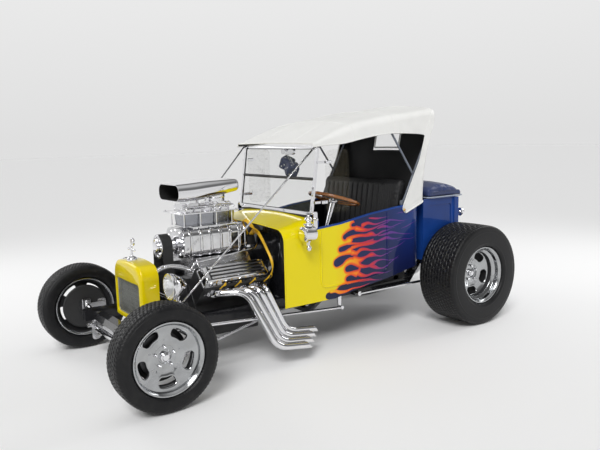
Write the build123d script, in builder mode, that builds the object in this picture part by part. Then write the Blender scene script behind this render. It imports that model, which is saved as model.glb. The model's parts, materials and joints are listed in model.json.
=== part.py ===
from build123d import *
import os
from math import cos, hypot, radians, sin, sqrt, tan

os.makedirs("parts", exist_ok=True)

# A fenderless two-seat roadster pickup hot rod, in millimetres.
# X is to the car's left, Y to its rear, Z up. The floor is at Z = 0, under the middle of its length.
# Lengths along the car are stations, measured back from the front axle.
wheelbase = 2635
front_tyre_r = 306
rear_tyre_r = 391
front_axle_y = front_tyre_r - (front_tyre_r + wheelbase + rear_tyre_r) / 2

# Wheels
front_tyre_w = 180
rear_tyre_w = 340
front_rim_w = 150
rear_rim_w = 300
front_rim_r = 210
rear_rim_r = 220
front_lip_x = 803
rear_lip_x = 800
front_dish = 70
rear_dish = 130
rim_wall = 8
disc_wall = 13
bore_r = 15.05
shaft_clear = 0.05
seat_clear = 0.3
lug_circle_r = 57
lug_r = 10
lug_h = 22
slot_count = 5

# Steering
kingpin_x = 612
kingpin_r = 11
tie_arm = 120
drag_arm = 130
pin_r = 7
rod_r = 10
steer_limit = 25
pitman_length = 105
pitman_station = 1530
pitman_x = 372
pitman_z = 352
pitman_t = 14

# Frame
rail_x = 300
rail_w = 50
rail_h = 75
rail_z = 340
kick_rise = 222
kick_start = 2310
kick_end = 2500
frame_end = 2705
tie_hole_r = 10
tie_hole_station = -97

# Radiator
shell_front = 72
shell_rear = 200
shell_half = 232
shell_top = 725
shell_low = 345
shell_wall = 5
shell_lip = 30
grille_half = 196
grille_top = 598

# Engine
crank_z = 340
block_half = 196
gearbox_low = crank_z - 135
block_front = 470
block_rear = 985
bank_angle = 45
head_out = 345
cover_h = 62
blower_w = 300
blower_low = 705
blower_high = 905
blower_front = 430
blower_rear = 900
pipe_r = 21
pipe_bore_r = 18

# Body
body_half = 500
wall = 20
cowl_front = 975
cowl_rear = 1232
tub_rear = 2300
tub_corner_r = 150
sill_z = 355
belt_front_z = 862
belt_rear_z = 955
tub_rear_z = 485
floor_z = 378
floor_t = 8

# Windshield and top
screen_half = 468
screen_base_station = 1226
cowl_top_front = 900
cowl_top_rear = 955
screen_base_z = cowl_top_rear + 12.3
screen_height = 452
screen_lean = 64
screen_tube = 22
glass_t = 6
fabric_t = 5
top_half = body_half + seat_clear + fabric_t

# Bed
bed_half = 450
bed_front = 2333
bed_rear = 2730
bed_low = 500
bed_high = 978
bed_wall = 16
bed_floor_z = rail_z + kick_rise + rail_h / 2 + seat_clear
gate_half = 415


def at(station):
    # Y of a station behind the front axle
    return front_axle_y + station


def across(station):
    # drawing plane across the car: local x is X, local y is Z, and it faces forward
    return Plane(origin=(0, at(station), 0), x_dir=(1, 0, 0), z_dir=(0, -1, 0))


def upright(x):
    # drawing plane along the car: local x is Y, local y is Z, and it faces left
    return Plane(origin=(x, 0, 0), x_dir=(0, 1, 0), z_dir=(1, 0, 0))


def side_points(table):
    # rows of station, height
    return [(at(station), height) for station, height in table]


def tube(points, radius, bend=None):
    # a round rod along points, with its corners bent to a radius
    with BuildPart() as piece:
        with BuildLine() as path:
            if len(points) > 2:
                FilletPolyline(*points, radius=bend)
            else:
                Line(*points)
        start = Vector(*points[0])
        along = Vector(*points[1]) - start
        with BuildSketch(Plane(origin=start, z_dir=along)):
            Circle(radius)
        sweep()
    return piece.part


def save(piece, node):
    piece.part.label = node
    export_step(piece.part, f"parts/{node}.step")


# Wheels. Each profile is drawn with local x outboard from the wheel's middle and local y its radius.
wheel_table = [
    # node end, side, station, lip x, tyre r, tyre w, rim r, rim w, dish, disc brake
    ("front_left", 1, 0, front_lip_x, front_tyre_r, front_tyre_w, front_rim_r, front_rim_w, front_dish, True),
    ("front_right", -1, 0, front_lip_x, front_tyre_r, front_tyre_w, front_rim_r, front_rim_w, front_dish, True),
    ("rear_left", 1, wheelbase, rear_lip_x, rear_tyre_r, rear_tyre_w, rear_rim_r, rear_rim_w, rear_dish, False),
    ("rear_right", -1, wheelbase, rear_lip_x, rear_tyre_r, rear_tyre_w, rear_rim_r, rear_rim_w, rear_dish, False),
]
flange_w = 10
flange_h = 14
well_depth = 38
tread_drop = 4
brake_r = 130
brake_t = 12
front_hub_length = 55
drum_length = 75


def wheel_frame(side, station, lip_x, rim_w, tyre_r):
    # plane through the axle, and the axle itself
    centre = (side * (lip_x - rim_w / 2), at(station), tyre_r)
    return Plane(origin=centre, x_dir=(side, 0, 0), z_dir=(0, -side, 0)), Axis(centre, (1, 0, 0))


for end, side, station, lip_x, tyre_r, tyre_w, rim_r, rim_w, dish, disc_brake in wheel_table:
    plane, axle = wheel_frame(side, station, lip_x, rim_w, tyre_r)
    seat_r = rim_r - flange_h
    well_r = rim_r - well_depth
    bead = rim_w / 2 - flange_w - 2 - seat_clear
    tread = tyre_w / 2 - 8
    with BuildPart() as tyre:
        with BuildSketch(plane):
            with BuildLine():
                Line((-bead, seat_r + seat_clear), (bead, seat_r + seat_clear))
                Line((bead, seat_r + seat_clear), (bead, rim_r + 4))
                Line((bead, rim_r + 4), (tyre_w / 2 - 4, rim_r + 24))
                Line((tyre_w / 2 - 4, rim_r + 24), (tyre_w / 2, tyre_r - 42))
                Line((tyre_w / 2, tyre_r - 42), (tread, tyre_r - 12))
                Line((tread, tyre_r - 12), (tread - 20, tyre_r - tread_drop))
                ThreePointArc((tread - 20, tyre_r - tread_drop), (0, tyre_r), (20 - tread, tyre_r - tread_drop))
                Line((20 - tread, tyre_r - tread_drop), (-tread, tyre_r - 12))
                Line((-tread, tyre_r - 12), (-tyre_w / 2, tyre_r - 42))
                Line((-tyre_w / 2, tyre_r - 42), (4 - tyre_w / 2, rim_r + 24))
                Line((4 - tyre_w / 2, rim_r + 24), (-bead, rim_r + 4))
                Line((-bead, rim_r + 4), (-bead, seat_r + seat_clear))
            make_face()
        revolve(axis=axle)
    save(tyre, f"tyre_{end}")

    face = rim_w / 2 - dish
    rim_end = rim_w / 2
    spoke_out = face + 28
    spoke_r = seat_r - rim_wall / 2 if spoke_out > rim_end - 45 else well_r - rim_wall / 2
    hub_end = face - (front_hub_length if disc_brake else drum_length)
    with BuildPart() as rim:
        with BuildSketch(plane):
            outer = [
                (rim_end, rim_r), (rim_end - flange_w, rim_r), (rim_end - flange_w - 2, seat_r),
                (rim_end - 42, seat_r), (rim_end - 58, well_r), (58 - rim_end, well_r),
                (42 - rim_end, seat_r), (flange_w + 2 - rim_end, seat_r), (flange_w - rim_end, rim_r),
                (-rim_end, rim_r),
            ]
            inner = [
                (-rim_end, rim_r - rim_wall), (16 - rim_end, seat_r - rim_wall), (45 - rim_end, seat_r - rim_wall),
                (60 - rim_end, well_r - rim_wall), (rim_end - 60, well_r - rim_wall),
                (rim_end - 45, seat_r - rim_wall), (rim_end - 16, seat_r - rim_wall), (rim_end, rim_r - rim_wall),
            ]
            with BuildLine():
                Polyline(*outer, *inner, close=True)
            make_face()
            with BuildLine():
                Polyline(
                    (spoke_out + 7, spoke_r), (face + 12, 118), (face, 84), (face, 28), (face + 14, 28),
                    (face + 26, 16), (face + 26, 0), (face - 4, 0), (face - 4, bore_r), (hub_end, bore_r),
                    (hub_end, brake_r), (hub_end + brake_t, brake_r), (hub_end + brake_t, 44),
                    (face - disc_wall, 44), (face - disc_wall, 84), (face, 120), (spoke_out - 7, spoke_r),
                    close=True,
                )
            make_face()
            if not disc_brake:
                with BuildLine():
                    Polyline(
                        (hub_end, brake_r - 12), (hub_end, brake_r), (face - disc_wall - 8, brake_r),
                        (face - disc_wall - 8, 40), (face - disc_wall - 20, 40), (face - disc_wall - 20, brake_r - 12),
                        close=True,
                    )
                make_face()
        revolve(axis=axle)
        hub_plane = Plane(origin=plane.from_local_coords((face, 0, 0)), x_dir=(0, 1, 0), z_dir=(side, 0, 0))
        slot_r = (spoke_r + 100) / 2
        with BuildSketch(hub_plane.offset(40)):
            with PolarLocations(slot_r, slot_count, start_angle=54):
                RectangleRounded(44, slot_r * 0.68, 18)
        extrude(amount=-40 - disc_wall - 6, mode=Mode.SUBTRACT)
        with BuildSketch(hub_plane):
            with PolarLocations(lug_circle_r, 5, start_angle=18):
                RegularPolygon(lug_r, 6)
        extrude(amount=lug_h)
    save(rim, f"rim_{end}")

# Frame: two rails with a kick-up behind the body, and cross members
rail_table = [
    (-120, 0), (kick_start, 0), (kick_end, kick_rise), (frame_end, kick_rise),
]
with BuildPart() as frame:
    for side in (1, -1):
        low = [(s, rail_z + rise - rail_h / 2) for s, rise in rail_table]
        high = [(s, rail_z + rise + rail_h / 2) for s, rise in reversed(rail_table)]
        with BuildSketch(upright(side * rail_x - rail_w / 2)):
            with BuildLine():
                Polyline(*side_points(low + high), close=True)
            make_face()
        extrude(amount=rail_w)
    cross_table = [
        # station, middle height, length, depth
        (-70, rail_z, 60, 55), (118, shell_low - seat_clear - 10, 60, 20), (2200, rail_z - 32, 50, 20),
        (frame_end - 50, rail_z + kick_rise, 50, 55),
    ]
    for station, height, length, depth in cross_table:
        with BuildSketch(across(station)):
            with Locations((0, height)):
                Rectangle(2 * rail_x, depth)
        extrude(amount=-length)
    with BuildSketch(across(1400)):
        with BuildLine():
            hang = gearbox_low - seat_clear
            Polyline((-rail_x, rail_z), (-rail_x, rail_z - 37), (-150, hang - 30), (150, hang - 30),
                     (rail_x, rail_z - 37), (rail_x, rail_z), (130, hang), (-130, hang), close=True)
        make_face()
    extrude(amount=-50)
    for side in (1, -1):
        with BuildSketch(across(610)):
            with Locations((side * (block_half + seat_clear + rail_x) / 2, crank_z - 5)):
                Rectangle(rail_x - block_half - seat_clear, 20)
        extrude(amount=-70)
    with BuildSketch(upright(rail_x + rail_w / 2 - 2)):
        with Locations((at(pitman_station), pitman_z)):
            RectangleRounded(90, 50, 12)
    extrude(amount=pitman_x - 4 - rail_x - rail_w / 2)
    with BuildSketch(upright(pitman_x - 6)):
        with Locations((at(pitman_station), pitman_z)):
            Circle(pin_r + 3)
    extrude(amount=pitman_t + 10)
    for side in (1, -1):
        with BuildSketch(Plane.XY.offset(rail_z - rail_h)):
            with Locations((side * rail_x, at(tie_hole_station))):
                Circle(tie_hole_r)
        extrude(amount=2 * rail_h, mode=Mode.SUBTRACT)
        for station, depth in ((955, 60), (1700, 40)):
            with BuildSketch(upright(side * (rail_x + rail_w / 2))):
                with Locations((at(station) + 20, rail_z - depth / 2)):
                    Rectangle(40, depth)
            extrude(amount=side * 20)
save(frame, "frame")

# Front axle: a dropped tube with a boss at each kingpin and a plate each side for the rods
axle_low_z = 205
boss_r = 24
boss_low = front_tyre_r - 42
boss_high = front_tyre_r + 42
axle_r = 25
plate_x = 470
with BuildPart() as front_axle:
    half = [(kingpin_x, 0, front_tyre_r), (kingpin_x - 70, 0, front_tyre_r - 8), (plate_x - 60, 0, axle_low_z)]
    points = half + [(-x, y, z) for x, y, z in reversed(half)]
    add(tube([(x, at(0), z) for x, y, z in points], axle_r, bend=60))
    for side in (1, -1):
        with BuildSketch(Plane.XY.offset(boss_low)):
            with Locations((side * kingpin_x, at(0))):
                Circle(boss_r)
        extrude(amount=boss_high - boss_low)
        with BuildSketch(upright(side * plate_x - 6)):
            with Locations((at(5), axle_low_z + 5)):
                RectangleRounded(56, 204, 20)
        extrude(amount=12)
    for side in (1, -1):
        with Locations((side * kingpin_x, at(0), front_tyre_r)):
            Hole(kingpin_r + shaft_clear)
save(front_axle, "front_axle")

# Front spring: a transverse leaf pack clamped under the front cross member, and two shackles
with BuildPart() as front_suspension:
    for number in range(5):
        reach = 390 - number * 62
        low = 259 - number * 0.5
        with BuildSketch(across(-62)):
            with BuildLine():
                ThreePointArc((-reach, low + number * 7 - 4), (0, low + 22 + number * 6), (reach, low + number * 7 - 4))
                Line((reach, low + number * 7 - 4), (reach, low + number * 7 + 3))
                ThreePointArc((reach, low + number * 7 + 3), (0, low + 29 + number * 6), (-reach, low + number * 7 + 3))
                Line((-reach, low + number * 7 + 3), (-reach, low + number * 7 - 4))
            make_face()
        extrude(amount=-44)
    for side in (1, -1):
        add(tube([(side * 386, at(-40), 256), (side * 436, at(-40), 226)], 9))
        with BuildSketch(across(-62)):
            with Locations((side * 438, 224)):
                Circle(14)
        extrude(amount=-36.7)

    # a hairpin each side, from the axle plates to the frame brackets
    for side in (1, -1):
        rear_eye = (side * (rail_x + rail_w / 2 + 32), at(975), rail_z - 40)
        for height in (axle_low_z - 72, axle_low_z + 88):
            front_eye = (side * (plate_x - 16), at(5), height)
            add(tube([front_eye, rear_eye], 9))
            with BuildSketch(upright(side * (plate_x - 6 - seat_clear))):
                with Locations((at(5), height)):
                    Circle(15)
            extrude(amount=-side * 18)
        with BuildSketch(upright(side * (rail_x + rail_w / 2 + 20 + seat_clear))):
            with Locations((at(975), rail_z - 40)):
                Circle(17)
        extrude(amount=side * 22)
save(front_suspension, "front_suspension")

# Steering knuckles, each with its kingpin, spindle, arms and brake caliper
yoke_gap = 2
ear_t = 16
web_in = 28
web_out = 44
front_mid_x = front_lip_x - front_rim_w / 2
front_face_x = front_lip_x - front_dish
disc_in_x = front_face_x - front_hub_length
caliper_gap = 5
ear_low = boss_low - yoke_gap - ear_t
ear_high = boss_high + yoke_gap + ear_t
arm_stud_low = ear_low - 24
arm_stud_high = ear_high + 24
for end, side in (("left", 1), ("right", -1)):
    with BuildPart() as knuckle:
        with BuildSketch(upright(side * (kingpin_x + web_in))):
            with Locations((at(0), front_tyre_r)):
                RectangleRounded(58, ear_high - ear_low, 10)
        extrude(amount=side * (web_out - web_in))
        for low in (ear_low, ear_high - ear_t):
            with BuildSketch(Plane.XY.offset(low)):
                with Locations((side * kingpin_x, at(0))):
                    Circle(boss_r)
                with Locations((side * (kingpin_x + (web_out + 0) / 2), at(0))):
                    Rectangle(web_out, 2 * boss_r)
            extrude(amount=ear_t)
        with BuildSketch(Plane.XY.offset(ear_low)):
            with Locations((side * kingpin_x, at(0))):
                Circle(kingpin_r)
        extrude(amount=ear_high - ear_low)
        with BuildSketch(upright(side * (kingpin_x + web_out))):
            with Locations((at(0), front_tyre_r)):
                Circle(bore_r - shaft_clear)
        extrude(amount=side * (front_face_x - 6 - kingpin_x - web_out))
        with BuildSketch(Plane.XY.offset(ear_low)):
            with Locations((side * kingpin_x, at(tie_arm / 2))):
                Rectangle(22, tie_arm)
            with Locations((side * kingpin_x, at(tie_arm))):
                Circle(16)
        extrude(amount=ear_t)
        with BuildSketch(Plane.XY.offset(arm_stud_low)):
            with Locations((side * kingpin_x, at(tie_arm))):
                Circle(pin_r)
        extrude(amount=ear_low - arm_stud_low)
        if side > 0:
            with BuildSketch(Plane.XY.offset(ear_high - ear_t)):
                with Locations((kingpin_x - drag_arm / 2, at(0))):
                    Rectangle(drag_arm, 24)
                with Locations((kingpin_x - drag_arm, at(0))):
                    Circle(16)
            extrude(amount=ear_t)
            with BuildSketch(Plane.XY.offset(ear_high)):
                with Locations((kingpin_x - drag_arm, at(0))):
                    Circle(pin_r)
            extrude(amount=arm_stud_high - ear_high)
        with BuildSketch(upright(side * (kingpin_x + web_in))):
            with Locations((at(72), front_tyre_r)):
                Rectangle(144, 50)
        extrude(amount=side * (web_out - web_in))
        caliper_in = kingpin_x + web_out
        caliper_out = disc_in_x + brake_t + caliper_gap + 12
        with BuildSketch(upright(side * caliper_in)):
            with Locations((at(118), front_tyre_r)):
                RectangleRounded(60, 84, 14)
        extrude(amount=side * (caliper_out - caliper_in))
        slot_low = disc_in_x - caliper_gap
        with BuildSketch(upright(side * slot_low)):
            with Locations((at(0), front_tyre_r)):
                Circle(brake_r + caliper_gap)
                Circle(60, mode=Mode.SUBTRACT)
        extrude(amount=side * (brake_t + 2 * caliper_gap), mode=Mode.SUBTRACT)
    save(knuckle, f"knuckle_{end}")

# Tie rod, with an eye round each knuckle's stud
eye_t = 14
with BuildPart() as tie_rod:
    tie_z = arm_stud_low + 4 + eye_t / 2
    add(tube([(kingpin_x - 10, at(tie_arm), tie_z), (10 - kingpin_x, at(tie_arm), tie_z)], rod_r))
    for side in (1, -1):
        with BuildSketch(Plane.XY.offset(tie_z - eye_t / 2)):
            with Locations((side * kingpin_x, at(tie_arm))):
                Circle(16)
        extrude(amount=eye_t)
    for side in (1, -1):
        with Locations((side * kingpin_x, at(tie_arm), tie_z)):
            Hole(pin_r + shaft_clear)
save(tie_rod, "tie_rod")

# Drag link: an eye on the left knuckle's upper stud, and a stud that meets the pitman arm
link_x = kingpin_x - drag_arm
link_z = ear_high + 4 + eye_t / 2
pitman_low_z = pitman_z - pitman_length
with BuildPart() as drag_link:
    rear_x = pitman_x + pitman_t + seat_clear + 16
    add(tube([(link_x, at(14), link_z), (rear_x, at(pitman_station), pitman_low_z)], rod_r))
    with BuildSketch(Plane.XY.offset(link_z - eye_t / 2)):
        with Locations((link_x, at(0))):
            Circle(16)
    extrude(amount=eye_t)
    with BuildSketch(upright(pitman_x + pitman_t + seat_clear)):
        with Locations((at(pitman_station), pitman_low_z)):
            Circle(13)
    extrude(amount=30)
    with Locations((link_x, at(0), link_z)):
        Hole(pin_r + shaft_clear, depth=60)
save(drag_link, "drag_link")

# Pitman arm on the steering box's output shaft
with BuildPart() as pitman_arm:
    with BuildSketch(upright(pitman_x)):
        with BuildLine():
            top = (at(pitman_station), pitman_z)
            Polyline((top[0] - 17, top[1]), (top[0] - 12, pitman_low_z), (top[0] + 12, pitman_low_z),
                     (top[0] + 17, top[1]), close=True)
        make_face()
        with Locations(top):
            Circle(20)
        with Locations((top[0], pitman_low_z)):
            Circle(14)
    extrude(amount=pitman_t)
    with Locations(Plane(origin=(pitman_x, top[0], top[1]), z_dir=(1, 0, 0))):
        Hole(pin_r + 3 + shaft_clear)
save(pitman_arm, "pitman_arm")

# Steering box and column
wheel_x = 250
wheel_station = 1600
wheel_z = 1030
column_tilt = 18
column_length = 636
column_r = 20
wheel_axis = Vector(0, sin(radians(column_tilt)), cos(radians(column_tilt)))
wheel_centre = Vector(wheel_x, at(wheel_station), wheel_z)
column_top = wheel_centre - wheel_axis * 34
column_low = column_top - wheel_axis * column_length
with BuildPart() as steering_column:
    with BuildSketch(Plane(origin=column_low, z_dir=wheel_axis)):
        Circle(column_r)
    extrude(amount=column_length)
    with BuildSketch(Plane(origin=column_top, z_dir=-wheel_axis)):
        Circle(9 + shaft_clear)
    extrude(amount=60, mode=Mode.SUBTRACT)
save(steering_column, "steering_column")

wheel_rim_r = 185
wheel_grip_r = 13
wheel_plane = Plane(origin=wheel_centre, x_dir=(1, 0, 0), z_dir=wheel_axis)
with BuildPart() as steering_wheel:
    with BuildSketch(Plane(origin=wheel_centre, x_dir=(1, 0, 0), z_dir=wheel_plane.y_dir * -1)):
        with Locations((wheel_rim_r, 0)):
            Circle(wheel_grip_r)
    revolve(axis=Axis(wheel_centre, wheel_axis))
    with BuildSketch(wheel_plane.offset(-22)):
        with PolarLocations(wheel_rim_r / 2, 4, start_angle=45):
            Rectangle(wheel_rim_r - 4, 22)
        Circle(34)
    extrude(amount=6)
    with BuildSketch(wheel_plane.offset(-30)):
        Circle(26)
    extrude(amount=34)
    with BuildSketch(wheel_plane.offset(-30)):
        Circle(9)
    extrude(amount=-60)
    for angle in (45, 135, 225, 315):
        with BuildSketch(wheel_plane.offset(-20)):
            with PolarLocations(wheel_rim_r - 6, 1, start_angle=angle):
                Circle(7)
        extrude(amount=14)
save(steering_wheel, "steering_wheel")

# Radiator, shell, grille and cap

def shell_outline(inset):
    # the arched outline, drawn on a plane across the car
    half, top = shell_half - inset, shell_top - inset
    with BuildLine() as outline:
        Line((-half, shell_low), (-half, top - 110))
        ThreePointArc((-half, top - 110), (-half + 24, top - 36), (-half + 84, top - 10))
        ThreePointArc((-half + 84, top - 10), (0, top), (half - 84, top - 10))
        ThreePointArc((half - 84, top - 10), (half - 24, top - 36), (half, top - 110))
        Line((half, top - 110), (half, shell_low))
        Line((half, shell_low), (-half, shell_low))
    return outline.line


with BuildPart() as radiator_shell:
    with BuildSketch(across(shell_front)):
        with BuildLine():
            add(shell_outline(0))
        make_face()
    extrude(amount=shell_front - shell_rear)
    fillet(radiator_shell.edges().filter_by_position(Axis.Y, at(shell_front) - 1, at(shell_front) + 1)
           .filter_by(lambda e: e.center().Z > shell_low + 20), 22)
    with BuildSketch(across(shell_front + 34)):
        with BuildLine():
            add(shell_outline(shell_wall))
        make_face()
    extrude(amount=shell_front - shell_rear, mode=Mode.SUBTRACT)
    with BuildSketch(across(shell_front - 5)):
        with Locations((0, (grille_top + shell_low + 20) / 2)):
            RectangleRounded(2 * grille_half, grille_top - shell_low - 20, 22)
    extrude(amount=-60, mode=Mode.SUBTRACT)
    with BuildSketch(across(shell_front + 34)):
        with Locations((0, shell_low + shell_wall / 2)):
            Rectangle(2 * shell_half - 20, shell_wall)
    extrude(amount=shell_front + 34 - shell_rear)
save(radiator_shell, "radiator_shell")

bar_w = 5
with BuildPart() as grille:
    with BuildSketch(across(shell_front + 12)):
        with Locations((0, (grille_top + shell_low + 20) / 2)):
            RectangleRounded(2 * grille_half - 2 * seat_clear, grille_top - shell_low - 20 - 2 * seat_clear, 21)
            RectangleRounded(2 * grille_half - 20, grille_top - shell_low - 40, 14, mode=Mode.SUBTRACT)
        with GridLocations(18, 0, 21, 1):
            with Locations((0, (grille_top + shell_low + 20) / 2)):
                Rectangle(bar_w, grille_top - shell_low - 26)
        with GridLocations(0, 26, 1, 8):
            with Locations((0, (grille_top + shell_low + 20) / 2)):
                Rectangle(2 * grille_half - 10, bar_w)
    extrude(amount=-6)
save(grille, "grille")

with BuildPart() as radiator_core:
    with BuildSketch(across(shell_front + 40)):
        with BuildLine():
            add(shell_outline(shell_wall + seat_clear))
        make_face()
    extrude(amount=-70)
    with BuildSketch(across(shell_front + 40)):
        with Locations((0, shell_low)):
            Rectangle(3 * shell_half, 2 * (shell_wall + seat_clear))
    extrude(amount=-80, mode=Mode.SUBTRACT)
save(radiator_core, "radiator_core")

with BuildPart() as radiator_cap:
    cap_y = at((shell_front + shell_rear) / 2 - 14)
    with BuildSketch(Plane(origin=(0, cap_y, 0), x_dir=(1, 0, 0), z_dir=(0, -1, 0))):
        with BuildLine():
            Polyline((0, shell_top + seat_clear), (34, shell_top + seat_clear), (34, shell_top + 14), (26, shell_top + 24),
                     (9, shell_top + 30), (7, shell_top + 96), (0, shell_top + 96), close=True)
        make_face()
    revolve(axis=Axis((0, cap_y, 0), (0, 0, 1)))
    with BuildSketch(Plane(origin=(0, cap_y - 9, 0), x_dir=(1, 0, 0), z_dir=(0, -1, 0))):
        with Locations((0, shell_top + 120)):
            Circle(27)
    extrude(amount=-18)
    with BuildSketch(upright(-52)):
        with Locations((cap_y, shell_top + 72)):
            Circle(7)
    extrude(amount=104)
save(radiator_cap, "radiator_cap")

# Headlamps on a bar between the frame rails
lamp_x = 362
lamp_z = 600
lamp_r = 84
lamp_front = 205
lamp_back = 330
lamp_bar_z = lamp_z - lamp_r - 16
with BuildPart() as headlamps:
    for side in (1, -1):
        with BuildSketch(Plane(origin=(side * lamp_x, at(0), lamp_z), x_dir=(0, 1, 0), z_dir=(1, 0, 0))):
            with BuildLine():
                Line((lamp_front, lamp_r - 6), (lamp_front, lamp_r))
                Line((lamp_front, lamp_r), (lamp_front + 20, lamp_r))
                Line((lamp_front + 20, lamp_r), (lamp_front + 26, lamp_r - 6))
                ThreePointArc((lamp_front + 26, lamp_r - 6), (lamp_back - 42, lamp_r - 28), (lamp_back, 0))
                Line((lamp_back, 0), (lamp_front + 60, 0))
                ThreePointArc((lamp_front + 60, 0), (lamp_front + 44, 44), (lamp_front, lamp_r - 6))
            make_face()
        revolve(axis=Axis((side * lamp_x, at(0), lamp_z), (0, 1, 0)))
        with BuildSketch(Plane.XY.offset(lamp_bar_z - 8)):
            with Locations((side * lamp_x, at(lamp_front + 55))):
                Circle(9)
        extrude(until=Until.NEXT)
    bar_y = at(lamp_front + 55)
    add(tube([(-lamp_x, bar_y, lamp_bar_z), (lamp_x, bar_y, lamp_bar_z)], 11))
    for side in (1, -1):
        with BuildSketch(Plane.XY.offset(rail_z + rail_h / 2 + seat_clear)):
            with Locations((side * rail_x, bar_y)):
                Circle(9)
        extrude(amount=lamp_bar_z - rail_z - rail_h / 2)
save(headlamps, "headlamps")

with BuildPart() as headlamp_lenses:
    for side in (1, -1):
        with BuildSketch(Plane(origin=(side * lamp_x, at(lamp_front - seat_clear), lamp_z), z_dir=(0, -1, 0))):
            Circle(lamp_r - 3)
        extrude(amount=4)
        with BuildSketch(Plane(origin=(side * lamp_x, at(lamp_front - seat_clear) - 4, lamp_z), z_dir=(0, -1, 0))):
            Circle(lamp_r - 3)
        extrude(amount=14, taper=60)
save(headlamp_lenses, "headlamp_lenses")

# Engine: a vee-eight block with its heads, sump, water pump and bell housing


def bank_plane(side, station, out):
    # a plane on top of a bank: local x runs along the car, its normal runs out of the bank
    tilt = radians(bank_angle)
    out_dir = Vector(side * sin(tilt), 0, cos(tilt))
    return Plane(origin=Vector(0, at(station), crank_z) + out_dir * out, x_dir=(0, 1, 0), z_dir=out_dir)


head_w = 176
block_mid = (block_front + block_rear) / 2
block_length = block_rear - block_front
with BuildPart() as engine_block:
    with BuildSketch(across(block_front)):
        with BuildLine():
            Polyline((-120, 150), (120, 150), (140, 262), (178, 275), (block_half, crank_z + 5), (150, 420), (60, 560),
                     (-60, 560), (-150, 420), (-block_half, crank_z + 5), (-178, 275), (-140, 262), close=True)
        make_face()
    extrude(amount=-block_length)
    for side in (1, -1):
        with BuildSketch(bank_plane(side, block_mid, 120)):
            Rectangle(block_length - 10, head_w - 20)
        extrude(amount=130)
        with BuildSketch(bank_plane(side, block_mid, 250)):
            RectangleRounded(block_length, head_w, 16)
        extrude(amount=head_out - 250)
    with BuildSketch(across(block_front - 70)):
        with Locations((0, crank_z + 120)):
            Circle(66)
        with Locations((0, crank_z)):
            Circle(85)
        with Locations((0, crank_z + 60)):
            Rectangle(120, 120)
    extrude(amount=-75)
    with BuildSketch(across(block_rear)):
        with Locations((0, crank_z)):
            Circle(185)
    extrude(amount=-30)
save(engine_block, "engine_block")

with BuildPart() as gearbox:
    with BuildSketch(across(block_rear + 30.3)):
        with Locations((0, crank_z - 10)):
            Circle(150)
    with BuildSketch(across(block_rear + 190)):
        with Locations((0, crank_z - 40)):
            Circle(95)
    loft()
    with BuildSketch(across(block_rear + 190)):
        with Locations((0, crank_z - 60)):
            RectangleRounded(190, 150, 40)
    extrude(amount=-420)
    tail_station = block_rear + 610
    diff_station = wheelbase - 157
    add(tube([(0, at(tail_station), crank_z - 60), (0, at(diff_station), rear_tyre_r)], 34))
save(gearbox, "gearbox")

with BuildPart() as valve_covers:
    for side in (1, -1):
        with BuildSketch(bank_plane(side, block_mid, head_out + seat_clear)):
            RectangleRounded(block_length - 12, head_w - 26, 18)
        extrude(amount=cover_h, taper=8)
    for side in (1, -1):
        with BuildSketch(bank_plane(side, block_mid, head_out + cover_h)):
            with GridLocations(0, 20, 1, 5):
                Rectangle(block_length - 110, 7)
        extrude(amount=5)
save(valve_covers, "valve_covers")

# Intake manifold and blower


def valley_half(height):
    # half the room between the heads at a height
    tilt = radians(bank_angle)
    return (height - crank_z) * tan(tilt) - (head_w / 2 + seat_clear) / cos(tilt)


blower_mid = (blower_front + blower_rear) / 2
with BuildPart() as intake_manifold:
    with BuildSketch(across(block_front + 40)):
        with BuildLine():
            low, wide = 560.3, 640
            low_x, wide_x = valley_half(low), valley_half(wide)
            Polyline((-low_x, low), (low_x, low), (wide_x, wide), (130, blower_low - seat_clear),
                     (-130, blower_low - seat_clear), (-wide_x, wide), close=True)
        make_face()
    extrude(amount=-block_length + 110)
save(intake_manifold, "intake_manifold")

rib_t = 7
with BuildPart() as blower_case:
    with BuildSketch(across(blower_front)):
        with Locations((0, (blower_low + blower_high) / 2)):
            RectangleRounded(blower_w - 24, blower_high - blower_low, 60)
    extrude(amount=blower_front - blower_rear)
    for number in range(9):
        station = blower_front + 30 + number * (blower_rear - blower_front - 60 - rib_t) / 8
        with BuildSketch(across(station)):
            with Locations((0, (blower_low + blower_high) / 2)):
                RectangleRounded(blower_w, blower_high - blower_low, 62)
        extrude(amount=-rib_t)
    with BuildSketch(Plane.XY.offset(blower_high - 20)):
        with Locations((0, at(blower_mid + 20))):
            Rectangle(200, 330)
    extrude(amount=30)
save(blower_case, "blower_case")

# Blower drive: an upper and a lower toothed pulley, with the belt round both
pulley_front = 300
belt_w = 76
upper_z = (blower_low + blower_high) / 2 - 14
upper_r = 74
lower_r = 80
with BuildPart() as blower_drive:
    for height, radius, reach in ((upper_z, upper_r, blower_front), (crank_z, lower_r, block_front - 70)):
        with BuildSketch(across(pulley_front)):
            with Locations((0, height)):
                Circle(radius)
        extrude(amount=-belt_w)
        with BuildSketch(across(pulley_front - 14)):
            with Locations((0, height)):
                Circle(radius - 30)
        extrude(amount=-(reach - pulley_front + 14 - seat_clear))
        with BuildSketch(across(pulley_front + belt_w)):
            with Locations((0, height)):
                Circle(radius + 6)
        extrude(amount=-5)
        with BuildSketch(across(pulley_front - 5)):
            with Locations((0, height)):
                Circle(radius + 6)
        extrude(amount=-5)
save(blower_drive, "blower_drive")

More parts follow.
